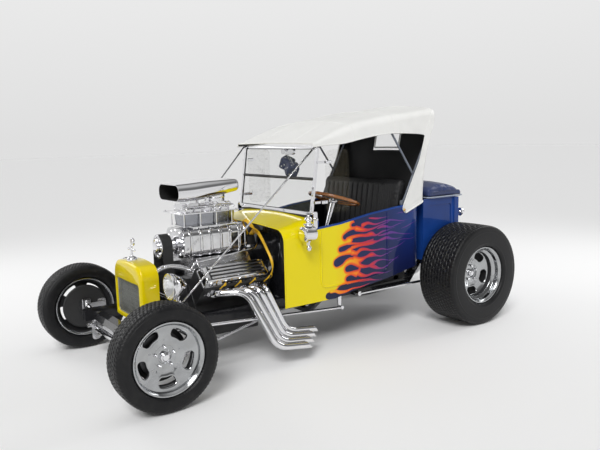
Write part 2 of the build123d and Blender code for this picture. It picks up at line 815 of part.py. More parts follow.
belt_t = 8
with BuildPart() as blower_belt:
    with BuildSketch(across(pulley_front + 3)):
        lean = (lower_r - upper_r) / (upper_z - crank_z)
        for grow, mode in ((seat_clear + belt_t, Mode.ADD), (seat_clear, Mode.SUBTRACT)):
            up, low = upper_r + grow, lower_r + grow
            c = sqrt(1 - lean * lean)
            with BuildLine():
                ThreePointArc((-up * c, upper_z + up * lean), (0, upper_z + up), (up * c, upper_z + up * lean))
                Line((up * c, upper_z + up * lean), (low * c, crank_z + low * lean))
                ThreePointArc((low * c, crank_z + low * lean), (0, crank_z - low), (-low * c, crank_z + low * lean))
                Line((-low * c, crank_z + low * lean), (-up * c, upper_z + up * lean))
            make_face(mode=mode)
    extrude(amount=-(belt_w - 6))
save(blower_belt, "blower_belt")

# Carburettors on their plate, and the air scoop over them
plate_low = blower_high + 10.3
carb_low = 1012
scoop_low = 1088
scoop_high = 1205
scoop_front = 398
scoop_rear = 872
carb_stations = (545, 745)
with BuildPart() as carburettors:
    with BuildSketch(across(410)):
        with BuildLine():
            Polyline((-105, plate_low), (105, plate_low), (140, carb_low - 18), (140, carb_low),
                     (-140, carb_low), (-140, carb_low - 18), close=True)
        make_face()
    extrude(amount=-440)
    for station in carb_stations:
        with BuildSketch(Plane.XY.offset(carb_low)):
            with Locations((0, at(station))):
                RectangleRounded(150, 140, 12)
        extrude(amount=14)
        with BuildSketch(Plane.XY.offset(carb_low + 14)):
            with Locations((0, at(station))):
                RectangleRounded(130, 100, 20)
            with Locations((0, at(station) - 66), (0, at(station) + 66)):
                RectangleRounded(110, 34, 10)
        extrude(amount=40)
        with BuildSketch(Plane.XY.offset(carb_low + 54)):
            with Locations((0, at(station))):
                Circle(64)
        extrude(amount=scoop_low - carb_low - 54 - seat_clear)
save(carburettors, "carburettors")

with BuildPart() as air_scoop:
    scoop_mid = (scoop_low + scoop_high) / 2
    scoop_rows = [
        # station, width, height, middle height
        (scoop_front, 318, scoop_high - scoop_low - 4, scoop_mid - 2),
        (600, 310, 116, scoop_mid + 8),
        (scoop_rear, 250, 84, scoop_mid + 26),
    ]
    for station, width, height, middle in scoop_rows:
        with BuildSketch(across(station)):
            with Locations((0, middle)):
                RectangleRounded(width, height, height * 0.44)
    loft(ruled=True)
    with BuildSketch(Plane.XY.offset(scoop_low)):
        for station in carb_stations:
            with Locations((0, at(station))):
                Circle(66)
    extrude(amount=60)
    for station, width, height, middle in scoop_rows[:2]:
        with BuildSketch(across(station - (4 if station == scoop_front else 0))):
            with Locations((0, middle)):
                RectangleRounded(width - 12, height - 12, (height - 12) * 0.44)
    loft(ruled=True, mode=Mode.SUBTRACT)
save(air_scoop, "air_scoop")

# Ignition: the magneto behind the blower
with BuildPart() as ignition:
    magneto_y = at(block_rear - 32)
    with BuildSketch(Plane.XY.offset(560.3)):
        with Locations((0, magneto_y)):
            Circle(26)
    extrude(amount=160)
    with BuildSketch(Plane.XY.offset(720)):
        with Locations((0, magneto_y + 40)):
            Circle(62)
    extrude(amount=80, taper=6)
save(ignition, "ignition")

# Headers: four pipes a side, swept down and back, with slanted outlets
port_stations = (540, 655, 765, 880)
port_out = 310
flange_t = 8


def port_point(side, station, off):
    # a point over an exhaust port, some way off the head's lower face
    tilt = radians(bank_angle)
    reach = head_w / 2 + off
    x = port_out * sin(tilt) + reach * cos(tilt)
    z = crank_z + port_out * cos(tilt) - reach * sin(tilt)
    return (side * x, at(station), z)


with BuildPart() as headers:
    for side in (1, -1):
        first, last = port_stations[0], port_stations[-1]
        normal = Vector(side * cos(radians(bank_angle)), 0, -sin(radians(bank_angle)))
        flange_plane = Plane(origin=port_point(side, (first + last) / 2, seat_clear), x_dir=(0, 1, 0), z_dir=normal)
        with BuildSketch(flange_plane):
            Rectangle(last - first + 70, 56)
        extrude(amount=flange_t)
        for number, port in enumerate(port_stations):
            peak = 700 + 52 * number
            corner = (590 - 30 * number, 842 + 45 * number, 138 + 22 * number)
            outlet = (618 - 38 * number, 1090 + 45 * number, 112 + 20 * number)
            route = [(348, port + 12, 502), (446, peak, 506), corner, outlet]
            points = [port_point(side, port, 22)] + [(side * x, at(s), z) for x, s, z in route]
            add(tube(points, pipe_r, bend=26))
        for number, port in enumerate(port_stations):
            outlet = Vector(side * (618 - 38 * number), at(1090 + 45 * number), 112 + 20 * number)
            corner = Vector(side * (590 - 30 * number), at(842 + 45 * number), 138 + 22 * number)
            with BuildSketch(Plane(origin=outlet, z_dir=corner - outlet)):
                Circle(pipe_bore_r)
            extrude(amount=90, mode=Mode.SUBTRACT)
save(headers, "headers")

# Rear axle, with its brackets, rods and coil-over struts
tube_r = 38
axle_end_x = rear_lip_x - rear_dish - drum_length - 10
with BuildPart() as rear_axle:
    with BuildSketch(upright(-axle_end_x)):
        with Locations((at(wheelbase), rear_tyre_r)):
            Circle(tube_r)
    extrude(amount=2 * axle_end_x)
    for side in (1, -1):
        with BuildSketch(upright(side * (axle_end_x - 12))):
            with Locations((at(wheelbase), rear_tyre_r)):
                Circle(70)
        extrude(amount=side * 12)
        with BuildSketch(upright(side * axle_end_x)):
            with Locations((at(wheelbase), rear_tyre_r)):
                Circle(bore_r - shaft_clear)
        extrude(amount=side * (rear_lip_x - rear_dish - 6 - axle_end_x))
        with BuildSketch(upright(side * 420 - 8)):
            with Locations((at(wheelbase + 15), rear_tyre_r - 20)):
                RectangleRounded(114, 150, 20)
        extrude(amount=16)
    with Locations((0, at(wheelbase), rear_tyre_r)):
        Sphere(125)
    with BuildSketch(across(wheelbase - 155 + 6)):
        with Locations((0, rear_tyre_r)):
            Circle(60)
    extrude(amount=-70)

    # radius rods and coil-over struts
    for side in (1, -1):
        rod_x = side * 440
        add(tube([(rod_x, at(wheelbase - 20), rear_tyre_r - 62), (side * 384, at(1722), rail_z - 24)], 10))
        with BuildSketch(upright(side * (428.3))):
            with Locations((at(wheelbase - 20), rear_tyre_r - 62)):
                Circle(17)
        extrude(amount=side * 24)
        with BuildSketch(upright(side * (rail_x + rail_w / 2 + 20.3))):
            with Locations((at(1720), rail_z - 24)):
                Circle(17)
        extrude(amount=side * 46)
        strut_low = Vector(side * 380, at(wheelbase + 62), rear_tyre_r - 20)
        strut_high = Vector(side * 362, at(wheelbase + 62), bed_floor_z - 12)
        add(tube([strut_low, strut_high], 14))
        add(tube([strut_low * 0.75 + strut_high * 0.25, strut_high - Vector(0, 0, 10)], 34))
        with BuildSketch(upright(side * 372)):
            with Locations((at(wheelbase + 62), rear_tyre_r - 20)):
                Rectangle(46, 34)
        extrude(amount=side * 40 - side * 0.3)
        with BuildSketch(upright(side * 325.3)):
            with Locations((at(wheelbase + 62), bed_floor_z - 24)):
                Rectangle(60, 24)
        extrude(amount=side * 60)
save(rear_axle, "rear_axle")

# Body tub: side walls and a rounded rear, cut to the side view, joined to an arched cowl
belt_table = [
    # station, height of the top edge
    (cowl_rear - 4, belt_front_z), (1460, 880), (1725, 922), (2000, 950), (2090, belt_rear_z),
    (tub_rear + 5, belt_rear_z + 8),
]
sill_table = [
    (tub_rear + 5, tub_rear_z), (2130, 470), (1900, 427), (1600, 391), (1400, sill_z), (cowl_rear - 4, sill_z),
]


def belt_at(station):
    # height of the belt at a station, between the rows of its table
    for (low_s, low_z), (high_s, high_z) in zip(belt_table, belt_table[1:]):
        if low_s <= station <= high_s:
            return low_z + (high_z - low_z) * (station - low_s) / (high_s - low_s)


def cowl_outline(inset, top, shoulder):
    # an arch from sill to sill, drawn across the car
    half = body_half - inset
    crown = top - inset
    with BuildLine() as outline:
        Line((-half, sill_z), (-half, crown - shoulder - 16))
        ThreePointArc((-half, crown - shoulder - 16), (-half + shoulder * 0.29, crown - 16 - shoulder * 0.29),
                      (-half + shoulder, crown - 16))
        ThreePointArc((-half + shoulder, crown - 16), (0, crown), (half - shoulder, crown - 16))
        ThreePointArc((half - shoulder, crown - 16), (half - shoulder * 0.29, crown - 16 - shoulder * 0.29),
                      (half, crown - shoulder - 16))
        Line((half, crown - shoulder - 16), (half, sill_z))
        Line((half, sill_z), (-half, sill_z))
    return outline.line


with BuildPart() as body_tub:
    with BuildSketch(Plane.XY.offset(sill_z - 20)):
        with BuildLine():
            Polyline((-body_half, at(cowl_rear - 4)), (body_half, at(cowl_rear - 4)),
                     (body_half, at(tub_rear)), (-body_half, at(tub_rear)), close=True)
        make_face()
        fillet(vertices().group_by(Axis.Y)[-1], tub_corner_r)
        with BuildSketch(mode=Mode.PRIVATE) as inside:
            with BuildLine():
                Polyline((wall - body_half, at(cowl_rear - 50)), (body_half - wall, at(cowl_rear - 50)),
                         (body_half - wall, at(tub_rear - wall)), (wall - body_half, at(tub_rear - wall)), close=True)
            make_face()
            fillet(inside.vertices().group_by(Axis.Y)[-1], tub_corner_r - wall)
        add(inside.sketch, mode=Mode.SUBTRACT)
    extrude(amount=cowl_top_rear - sill_z + 60)
    with BuildSketch(upright(-body_half - 50)):
        with BuildLine():
            Polyline(*side_points(belt_table + sill_table), close=True)
        make_face()
    extrude(amount=2 * body_half + 100, mode=Mode.INTERSECT)
    for inset, mode in ((0, Mode.ADD), (wall, Mode.SUBTRACT)):
        shift = 6 if inset else 0
        with BuildSketch(across(cowl_front - shift)):
            with BuildLine():
                add(cowl_outline(inset, cowl_top_front, 84))
            make_face()
        with BuildSketch(across(cowl_rear + shift)):
            with BuildLine():
                add(cowl_outline(inset, cowl_top_rear, 100))
            make_face()
        loft(ruled=True, mode=mode)
    with BuildSketch(across(cowl_front - 20)):
        with Locations((0, sill_z)):
            Rectangle(2 * (body_half - wall), 60)
    extrude(amount=-(cowl_rear - cowl_front + 60), mode=Mode.SUBTRACT)
save(body_tub, "body_tub")

firewall_station = 1062
with BuildPart() as floor:
    with BuildSketch(across(firewall_station)):
        with BuildLine():
            add(cowl_outline(wall + 2, cowl_top_front + 18, 90))
        make_face()
        with Locations((0, crank_z - 40)):
            Circle(215, mode=Mode.SUBTRACT)
        with Locations((0, floor_z - 50)):
            Rectangle(2 * body_half, 100, mode=Mode.SUBTRACT)
    extrude(amount=-6)
    with BuildSketch(Plane.XY.offset(floor_z)):
        with Locations((0, at((firewall_station + 2100) / 2))):
            Rectangle(2 * (body_half - wall) - 2, 2100 - firewall_station)
    extrude(amount=floor_t)
    with BuildSketch(Plane.XY.offset(floor_z)):
        with Locations((0, at(firewall_station + 165))):
            Rectangle(300, 330)
    extrude(amount=100)
    with BuildSketch(Plane.XY.offset(floor_z - 41)):
        with Locations((0, at(firewall_station + 160))):
            Rectangle(280, 330)
    extrude(amount=131, mode=Mode.SUBTRACT)
save(floor, "floor")

with BuildPart() as dash:
    with BuildSketch(upright(wall + seat_clear - body_half)):
        with BuildLine():
            Polyline(*side_points([(cowl_rear + 4, 850), (cowl_rear + 26, 800), (cowl_rear + 32, 800),
                                   (cowl_rear + 50, 905), (cowl_rear + 42, 925), (cowl_rear + 14, 925)]), close=True)
        make_face()
    extrude(amount=2 * (body_half - wall - seat_clear))
save(dash, "dash")

with BuildPart() as seat:
    seat_half = body_half - wall - 12
    with BuildSketch(upright(-seat_half)):
        with BuildLine():
            Polyline(*side_points([(1640, floor_z + floor_t + seat_clear), (1640, 590), (1665, 612), (1950, 590),
                                   (1990, 640), (2062, 1150), (2085, 1172), (2130, 1168), (2146, 1130),
                                   (2146, 500), (2060, floor_z + floor_t + seat_clear)]), close=True)
        make_face()
    extrude(amount=2 * seat_half)
save(seat, "seat")

# Windshield: a tube frame with a middle bar, its glass, two posts' feet and the side wings
lean = Vector(0, screen_lean, screen_height)
screen_plane = Plane(origin=(0, at(screen_base_station), screen_base_z), x_dir=(1, 0, 0),
                     z_dir=Vector(1, 0, 0).cross(lean))
screen_slope = hypot(screen_lean, screen_height)
mid_bar = 238
wing_x = 503
with BuildPart() as windshield_frame:
    with BuildSketch(screen_plane.offset(-8)):
        with Locations((0, screen_slope / 2)):
            RectangleRounded(2 * screen_half + screen_tube, screen_slope + screen_tube, 18)
            RectangleRounded(2 * screen_half - screen_tube, screen_slope - screen_tube, 10, mode=Mode.SUBTRACT)
        with Locations((0, mid_bar)):
            Rectangle(2 * screen_half, 12)
    extrude(amount=16)
    for side in (1, -1):
        foot_in = body_half + seat_clear
        with BuildSketch(upright(side * foot_in)):
            with Locations((at(screen_base_station + 4), screen_base_z - 40)):
                RectangleRounded(34, 116, 12)
        extrude(amount=side * 9)
        with BuildSketch(upright(side * (screen_half + 6))):
            with Locations((at(screen_base_station + 4), screen_base_z + 8)):
                Rectangle(16, 18)
        extrude(amount=side * (foot_in - screen_half + 2))
        with BuildSketch(screen_plane.offset(8)):
            with Locations((side * (screen_half - 2), screen_slope - 2)):
                Circle(9)
        extrude(amount=10)
        for share in (0.16, 0.76):
            foot = Vector(0, at(screen_base_station), screen_base_z) + lean * share
            with BuildSketch(upright(side * (screen_half + 4))):
                with Locations((foot.Y + 48, foot.Z + 6)):
                    Rectangle(100, 16)
            extrude(amount=side * (wing_x - seat_clear - screen_half - 4))
save(windshield_frame, "windshield_frame")

with BuildPart() as windshield_glass:
    pane_half = screen_half - screen_tube / 2 - seat_clear
    low_edge = screen_tube / 2 + seat_clear
    for low, high in ((low_edge, mid_bar - 6 - seat_clear), (mid_bar + 6 + seat_clear, screen_slope - low_edge)):
        with BuildSketch(screen_plane.offset(-glass_t / 2)):
            with Locations((0, (low + high) / 2)):
                RectangleRounded(2 * pane_half, high - low, 10)
        extrude(amount=glass_t)
    for side in (1, -1):
        with BuildSketch(upright(side * wing_x)):
            with Locations((at(1428), 1185)):
                RectangleRounded(205, 430, 46)
        extrude(amount=side * glass_t)
save(windshield_glass, "windshield_glass")

with BuildPart() as windshield_braces:
    for side in (1, -1):
        boss = screen_plane.from_local_coords((side * (screen_half - 2), screen_slope - 2, 18 + 5))
        top_end = tuple(boss)
        low_end = (side * (rail_x + 14), at(300), rail_z + rail_h / 2 + 84)
        add(tube([top_end, low_end], 6))
        with BuildSketch(Plane.XY.offset(rail_z + rail_h / 2 + seat_clear)):
            with Locations((side * (rail_x + 8), at(292))):
                Rectangle(14, 40)
        extrude(amount=92)
save(windshield_braces, "windshield_braces")

# Cowl lamps: a drum with a lens, a chimney and a ball, on a bracket
cowl_lamp_x = body_half + 62
cowl_lamp_z = 852
cowl_lamp_station = 1130
cowl_lamp_r = 50
with BuildPart() as cowl_lamps:
    for side in (1, -1):
        centre = (side * cowl_lamp_x, at(cowl_lamp_station), cowl_lamp_z)
        with BuildSketch(across(cowl_lamp_station - 55)):
            with Locations((side * cowl_lamp_x, cowl_lamp_z)):
                Circle(cowl_lamp_r)
        extrude(amount=-100)
        with BuildSketch(Plane(origin=centre, x_dir=(1, 0, 0), z_dir=(0, -1, 0))):
            with BuildLine():
                Polyline((0, -118), (12, -114), (20, -98), (12, -82), (8, -60), (22, -46), (22, 46), (34, 62),
                         (30, 74), (18, 82), (18, 100), (26, 108), (10, 124), (0, 126), close=True)
            make_face()
        revolve(axis=Axis(centre, (0, 0, 1)))
        with BuildSketch(upright(side * (body_half + seat_clear))):
            with Locations((at(cowl_lamp_station), cowl_lamp_z - 70)):
                Rectangle(24, 30)
        extrude(amount=side * (cowl_lamp_x - body_half))
save(cowl_lamps, "cowl_lamps")

# Soft top: the fabric shell over its bows
bow_table = [
    # station, crown height, shoulder height
    (1238, 1452, 1436), (1560, 1606, 1572), (1960, 1676, 1640), (2440, 1730, 1690),
]
hem_table = [(1230, 1424), (1320, 1430), (1500, 1442), (1650, 1468), (1800, 1490), (1960, 1503), (2130, 1500),
             (2290, 1486)]
quarter_table = [(2236, 1295), (2131, 1095), (2068, 960), (2068, 935), (2110, 902), (2180, 908), (2250, 935)]
rear_table = [(2318, 930), (2320, 1000), (2335, 1200), (2364, 1400), (2420, 1590), (2450, 1700)]


def top_section(inset, crown, shoulder):
    # a nearly flat roof with rounded shoulders over straight sides
    half = top_half - inset
    with BuildLine() as outline:
        Line((-half, 880), (-half, shoulder - 62 - inset))
        ThreePointArc((-half, shoulder - 62 - inset), (-half + 20, shoulder - 18 - inset), (-half + 66, shoulder - inset))
        ThreePointArc((-half + 66, shoulder - inset), (0, crown - inset), (half - 66, shoulder - inset))
        ThreePointArc((half - 66, shoulder - inset), (half - 20, shoulder - 18 - inset), (half, shoulder - 62 - inset))
        Line((half, shoulder - 62 - inset), (half, 880))
        Line((half, 880), (-half, 880))
    return outline.line


with BuildPart() as soft_top:
    for station, crown, shoulder in bow_table:
        with BuildSketch(across(station)):
            with BuildLine():
                add(top_section(0, crown, shoulder))
            make_face()
    loft(ruled=True)
    with BuildSketch(upright(-top_half - 20)):
        with BuildLine():
            Polyline(*side_points([(1200, 870), (1200, 1800), (2452, 1800)] + rear_table[::-1] + [(2318, 870)]),
                     close=True)
        make_face()
    extrude(amount=2 * top_half + 40, mode=Mode.INTERSECT)
    with BuildPart(mode=Mode.PRIVATE) as hollow:
        for station, crown, shoulder in bow_table:
            with BuildSketch(across(station)):
                with BuildLine():
                    add(top_section(fabric_t, crown, shoulder))
                make_face()
        loft(ruled=True)
        with BuildSketch(upright(-top_half - 20)):
            with BuildLine():
                Polyline(*side_points([(1190, 860), (1190, 1800), (2452 - fabric_t, 1800)]
                                      + [(s - fabric_t, z) for s, z in rear_table[::-1]]
                                      + [(2318 - fabric_t, 860)]), close=True)
            make_face()
        extrude(amount=2 * top_half + 40, mode=Mode.INTERSECT)
    add(hollow.part, mode=Mode.SUBTRACT)
    with BuildSketch(upright(-top_half - 20)):
        with BuildLine():
            Polyline(*side_points(hem_table + quarter_table + [(2500, 935), (2500, 1800), (1200, 1800)]), close=True)
        make_face()
    extrude(amount=2 * top_half + 40, mode=Mode.INTERSECT)
save(soft_top, "soft_top")

# Top irons: three bows and a side iron down to each pivot
bow_r = 9
iron_x = top_half - fabric_t - bow_r - 10
pivot_station = 2076
pivot_z = belt_at(pivot_station + 22) + seat_clear + 22
rear_bow = bow_table[-1][0] - 40
with BuildPart() as top_bows:
    for station, crown, shoulder in bow_table[1:]:
        drop = fabric_t + bow_r + 4
        row = rear_bow if station == bow_table[-1][0] else station
        low = 1500 if row == station else 1590
        half = [(iron_x, at(row), low), (iron_x, at(row), shoulder - 60), (iron_x - 50, at(row), shoulder - drop - 8)]
        far = [(-x, y, z) for x, y, z in reversed(half)]
        add(tube(half + [(0, at(row), crown - drop - 4)] + far, bow_r, bend=18))
    for side in (1, -1):
        x = side * iron_x
        add(tube([(x, at(pivot_station), pivot_z), (x, at(rear_bow), 1592)], 8))
        add(tube([(x, at(2190), 1185), (x, at(1960), 1510)], 8))
        add(tube([(x, at(1960), 1510), (x, at(1560), 1504)], 8))
        with BuildSketch(upright(side * (iron_x - 8))):
            with Locations((at(pivot_station), pivot_z)):
                RectangleRounded(44, 44, 14)
        extrude(amount=side * 16)
save(top_bows, "top_bows")

# Pickup bed with stamped sides, its lid and its tailgate
gate_gap = 5
gate_t = 18
gate_pin_r = 5
gate_hinge_z = bed_floor_z + 9
gate_y = at(bed_rear - 11)
lid_pin_station = 2362
lid_pin_z = 1078
lid_pin_r = 5
lid_pin_x = 290
lid_lug_t = 8
with BuildPart() as pickup_bed:
    length = bed_rear - bed_front
    with BuildSketch(Plane.XY.offset(bed_low)):
        with Locations((0, at((bed_front + bed_rear) / 2))):
            Rectangle(2 * bed_half, length)
            with Locations((0, bed_wall)):
                Rectangle(2 * (bed_half - bed_wall), length, mode=Mode.SUBTRACT)
    extrude(amount=bed_high - bed_low)
    with BuildSketch(Plane.XY.offset(bed_floor_z)):
        with Locations((0, at((bed_front + bed_rear) / 2))):
            Rectangle(2 * bed_half - 4, length - 64)
    extrude(amount=12)
    for side in (1, -1):
        with BuildSketch(upright(side * (bed_half - 6))):
            with Locations((at((bed_front + bed_rear) / 2 - 10), (bed_low + bed_high) / 2 + 70)):
                RectangleRounded(length - 130, 240, 24)
        extrude(amount=side * 20, mode=Mode.SUBTRACT)
        with BuildSketch(Plane.XY.offset(bed_low)):
            with Locations((side * (gate_half + gate_gap + 22), at(bed_rear - 24))):
                Rectangle(44, 48)
        extrude(amount=bed_high - bed_low)
    with BuildSketch(upright(-gate_half - gate_gap - 14)):
        with Locations((gate_y, gate_hinge_z)):
            Circle(gate_pin_r + shaft_clear)
    extrude(amount=2 * (gate_half + gate_gap + 14), mode=Mode.SUBTRACT)
    for side in (1, -1):
        with BuildSketch(upright(side * lid_pin_x)):
            with Locations((at((bed_front + 4 + lid_pin_station + 9) / 2), (bed_high - 40 + lid_pin_z + 9) / 2)):
                RectangleRounded(lid_pin_station + 5 - bed_front, lid_pin_z + 49 - bed_high, 8)
        extrude(amount=side * lid_lug_t)
        with BuildSketch(upright(side * lid_pin_x)):
            with Locations((at(lid_pin_station), lid_pin_z)):
                Circle(lid_pin_r)
        extrude(amount=side * (3 * lid_lug_t))
save(pickup_bed, "pickup_bed")

cover_low = bed_high + 5.3
with BuildPart() as bed_cover:
    with BuildSketch(upright(-bed_half - 14)):
        with BuildLine():
            start = (at(lid_pin_station + 16), cover_low)
            end = (at(bed_rear + 62), cover_low)
            Line(start, end)
            Line(end, (end[0] + 4, cover_low + 40))
            ThreePointArc((end[0] + 4, cover_low + 40), (at(2640), cover_low + 128), (start[0], cover_low + 104))
            Line((start[0], cover_low + 104), start)
        make_face()
    extrude(amount=2 * bed_half + 28)
    for side in (1, -1):
        with BuildSketch(upright(side * (lid_pin_x + lid_lug_t + 2))):
            with Locations((at(lid_pin_station + 8), lid_pin_z - 2)):
                RectangleRounded(34, 20, 8)
            with Locations((at(lid_pin_station), lid_pin_z)):
                Circle(lid_pin_r + shaft_clear, mode=Mode.SUBTRACT)
        extrude(amount=side * lid_lug_t)
save(bed_cover, "bed_cover")

with BuildPart() as tailgate:
    with BuildSketch(Plane(origin=(0, gate_y - gate_t / 2, 0), x_dir=(1, 0, 0), z_dir=(0, -1, 0))):
        with Locations((0, (bed_floor_z + bed_high - gate_gap) / 2)):
            RectangleRounded(2 * gate_half, bed_high - gate_gap - bed_floor_z, 8)
    extrude(amount=-gate_t)
    with BuildSketch(Plane(origin=(0, gate_y + gate_t / 2, 0), x_dir=(1, 0, 0), z_dir=(0, -1, 0))):
        with Locations((0, (bed_floor_z + bed_high) / 2)):
            RectangleRounded(2 * gate_half - 120, bed_high - bed_floor_z - 120, 16)
    extrude(amount=6, mode=Mode.SUBTRACT)
    with BuildSketch(upright(-gate_half - gate_gap - 12)):
        with Locations((gate_y, gate_hinge_z)):
            Circle(gate_pin_r)
    extrude(amount=2 * (gate_half + gate_gap + 12))
save(tailgate, "tailgate")

with BuildPart() as tail_lamps:
    for side in (1, -1):
        with BuildSketch(across(bed_rear + seat_clear)):
            with Locations((side * (bed_half + 8), 850)):
                Circle(14)
        extrude(amount=-24)
        with BuildSketch(across(bed_rear + 20)):
            with Locations((side * (bed_half + 8), 850)):
                Circle(34)
        extrude(amount=-34, taper=6)
save(tail_lamps, "tail_lamps")
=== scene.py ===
import bmesh
import bpy
import json
import numpy as np
from math import cos, pi, radians, sin
from mathutils import Matrix


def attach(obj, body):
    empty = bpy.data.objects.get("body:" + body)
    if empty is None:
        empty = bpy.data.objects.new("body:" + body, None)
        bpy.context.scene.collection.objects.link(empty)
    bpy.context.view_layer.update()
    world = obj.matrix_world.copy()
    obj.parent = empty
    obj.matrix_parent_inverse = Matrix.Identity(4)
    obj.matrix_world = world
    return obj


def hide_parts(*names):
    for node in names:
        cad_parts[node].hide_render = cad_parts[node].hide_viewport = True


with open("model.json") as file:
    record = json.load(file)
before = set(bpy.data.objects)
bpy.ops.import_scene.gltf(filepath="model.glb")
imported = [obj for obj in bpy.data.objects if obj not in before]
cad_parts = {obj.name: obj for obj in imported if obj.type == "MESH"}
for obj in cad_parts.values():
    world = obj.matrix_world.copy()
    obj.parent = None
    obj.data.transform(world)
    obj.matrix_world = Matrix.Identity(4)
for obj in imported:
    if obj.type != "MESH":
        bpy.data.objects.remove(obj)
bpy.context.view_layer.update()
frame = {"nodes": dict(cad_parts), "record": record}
print("frame loaded")

frontAxleY = -1.36  # stations along the car are metres behind the front axle


def at(station):
    return frontAxleY + np.asarray(station, float)


# shader helpers


class Value:
    # a number inside a material; arithmetic on it adds Math nodes
    def __init__(self, finish, socket):
        self.finish, self.socket = finish, socket

    def math(self, operation, *inputs):
        made = self.finish.add("ShaderNodeMath", {"operation": operation}, dict(enumerate(inputs)))
        return Value(self.finish, made.outputs[0])

    def __add__(self, other): return self.math("ADD", self, other)
    def __sub__(self, other): return self.math("SUBTRACT", self, other)
    def __rsub__(self, other): return self.math("SUBTRACT", other, self)
    def __mul__(self, other): return self.math("MULTIPLY", self, other)
    def __abs__(self): return self.math("ABSOLUTE", self)
    __radd__, __rmul__ = __add__, __mul__

    def most(self, other): return self.math("MAXIMUM", self, other)
    def least(self, other): return self.math("MINIMUM", self, other)
    def wave(self): return self.math("SINE", self)

    def ramp(self, low, high):
        # 0 below low, 1 above high, smooth between
        made = self.finish.add("ShaderNodeMapRange", {"interpolation_type": "SMOOTHSTEP"},
            {"Value": self, "From Min": low, "From Max": high})
        return Value(self.finish, made.outputs[0])


class Finish:
    # a material on the principled shader
    def __init__(self, name, color, roughness=.5, metallic=0.0, **more):
        self.material = bpy.data.materials.new(name)
        self.material.use_nodes = True
        self.tree = self.material.node_tree
        self.shader = self.tree.nodes["Principled BSDF"]
        self.color, self.roughness = color, roughness
        self.set("Base Color", color)
        self.set("Roughness", roughness)
        self.set("Metallic", metallic)
        for key, value in more.items():
            self.set(key.replace("_", " "), value)

    def feed(self, socket, value):
        if isinstance(value, Value):
            self.tree.links.new(value.socket, socket)
        elif hasattr(value, "__len__") and len(value) == 3 and socket.type == "RGBA":
            socket.default_value = (*value, 1)
        else:
            socket.default_value = value

    def set(self, name, value):
        self.feed(self.shader.inputs[name], value)

    def add(self, kind, settings={}, sockets={}):
        made = self.tree.nodes.new(kind)
        for key, value in settings.items():
            if key == "stops":
                ramp = made.color_ramp
                while len(ramp.elements) < len(value):
                    ramp.elements.new(.5)
                for stop, (place, color) in zip(ramp.elements, value):
                    stop.position, stop.color = place, (*color, 1)
            else:
                setattr(made, key, value)
        for key, value in sockets.items():
            self.feed(made.inputs[key], value)
        return made

    def place(self):
        return Value(self, self.add("ShaderNodeTexCoord").outputs["Object"])

    def axes(self):
        made = self.add("ShaderNodeSeparateXYZ", {}, {0: self.place()})
        return [Value(self, made.outputs[k]) for k in range(3)]

    def attribute(self, name):
        return Value(self, self.add("ShaderNodeAttribute", {"attribute_name": name}).outputs["Fac"])

    def noise(self, scale, detail=3.0, stretch=(1, 1, 1), rough=.5):
        place = self.add("ShaderNodeMapping", {}, {"Vector": self.place(), "Scale": stretch})
        made = self.add("ShaderNodeTexNoise", {}, {"Vector": Value(self, place.outputs[0]), "Scale": scale,
            "Detail": detail, "Roughness": rough})
        return Value(self, made.outputs["Fac"])

    def mix(self, factor, low, high, kind="MIX"):
        made = self.add("ShaderNodeMix", {"data_type": "RGBA", "blend_type": kind}, {0: factor, 6: low, 7: high})
        return Value(self, made.outputs[2])

    def stops(self, factor, stops):
        made = self.add("ShaderNodeValToRGB", {"stops": stops}, {0: factor})
        return Value(self, made.outputs[0])

    def bump(self, height, distance, strength=1.0):
        made = self.add("ShaderNodeBump", {}, {"Height": height, "Distance": distance, "Strength": strength})
        self.set("Normal", Value(self, made.outputs[0]))


# finishes


def chromeFinish(name, tint, rough):
    # mirror plate with faint waves and a little haze
    made = Finish(name, tint, rough, 1.0)
    made.set("Roughness", made.noise(9, 4).ramp(.35, .8) * .07 + rough)
    made.bump(made.noise(60, 2), .0004, .15)
    return made


def polishedFinish(name, tint, rough):
    # polished cast alloy: cloudy roughness and a fine swirl
    made = Finish(name, tint, rough, 1.0)
    cloud = made.noise(14, 5).ramp(.3, .75)
    made.set("Base Color", made.mix(cloud, [c * .82 for c in tint], tint))
    made.set("Roughness", cloud * .12 + rough)
    made.bump(made.noise(90, 4), .0008, .2)
    return made


clearCoat = {"Coat_Weight": 1.0, "Coat_Roughness": .03, "Coat_IOR": 1.32, "Specular_IOR_Level": .12}


def paintFinish(name, color, deep, rough=.3):
    # body colour under a clear coat, with a little orange peel
    made = Finish(name, color, rough, 0.0, **clearCoat)
    made.set("Base Color", made.mix(made.noise(3, 2).ramp(.3, .7), deep, color))
    made.bump(made.noise(260, 2), .0003, .08)
    return made


def flameFinish():
    # "flameDepth" is the distance in metres inside the flames' edge, negative in the dark ground
    made = Finish("flames", (.9, .7, 0.0), .3, 0.0, **clearCoat)
    y, z = made.axes()[1:]
    heat = made.attribute("flameDepth")
    station = y - frontAxleY
    rim = 1 - heat.ramp(0.0, .026)
    warm = (station - 1.4) * 1.35 + rim * station.ramp(1.28, 1.36) * .34 + (made.noise(7, 2) - .5) * .1
    flame = made.stops(warm.least(1.0).most(0.0), [(0.0, (.8, .66, 0.0)), (.16, (.82, .56, 0.0)),
        (.3, (.86, .24, .005)), (.48, (.78, .1, .008)), (.62, (.62, .03, .02)), (.8, (.38, .02, .09)),
        (1.0, (.1, .03, .24))])
    # painted light on the navy ground: lighter high up towards the rear, a painted highlight, and darker low down, a
    # painted shade
    back = station.ramp(1.75, 2.35)
    high = z.ramp(.5, .95)
    groundWithPaintedLight = made.mix(back * high, (.006, .012, .075), (.008, .045, .24))
    # painted shade: the ground goes near black towards the bottom
    groundWithPaintedLight = made.mix((1 - z.ramp(.4, .62)) * .6, groundWithPaintedLight, (.003, .005, .022))
    made.set("Base Color", made.mix(heat.ramp(-.0012, .0012), groundWithPaintedLight, flame))
    made.bump(made.noise(260, 2), .0003, .08)
    return made


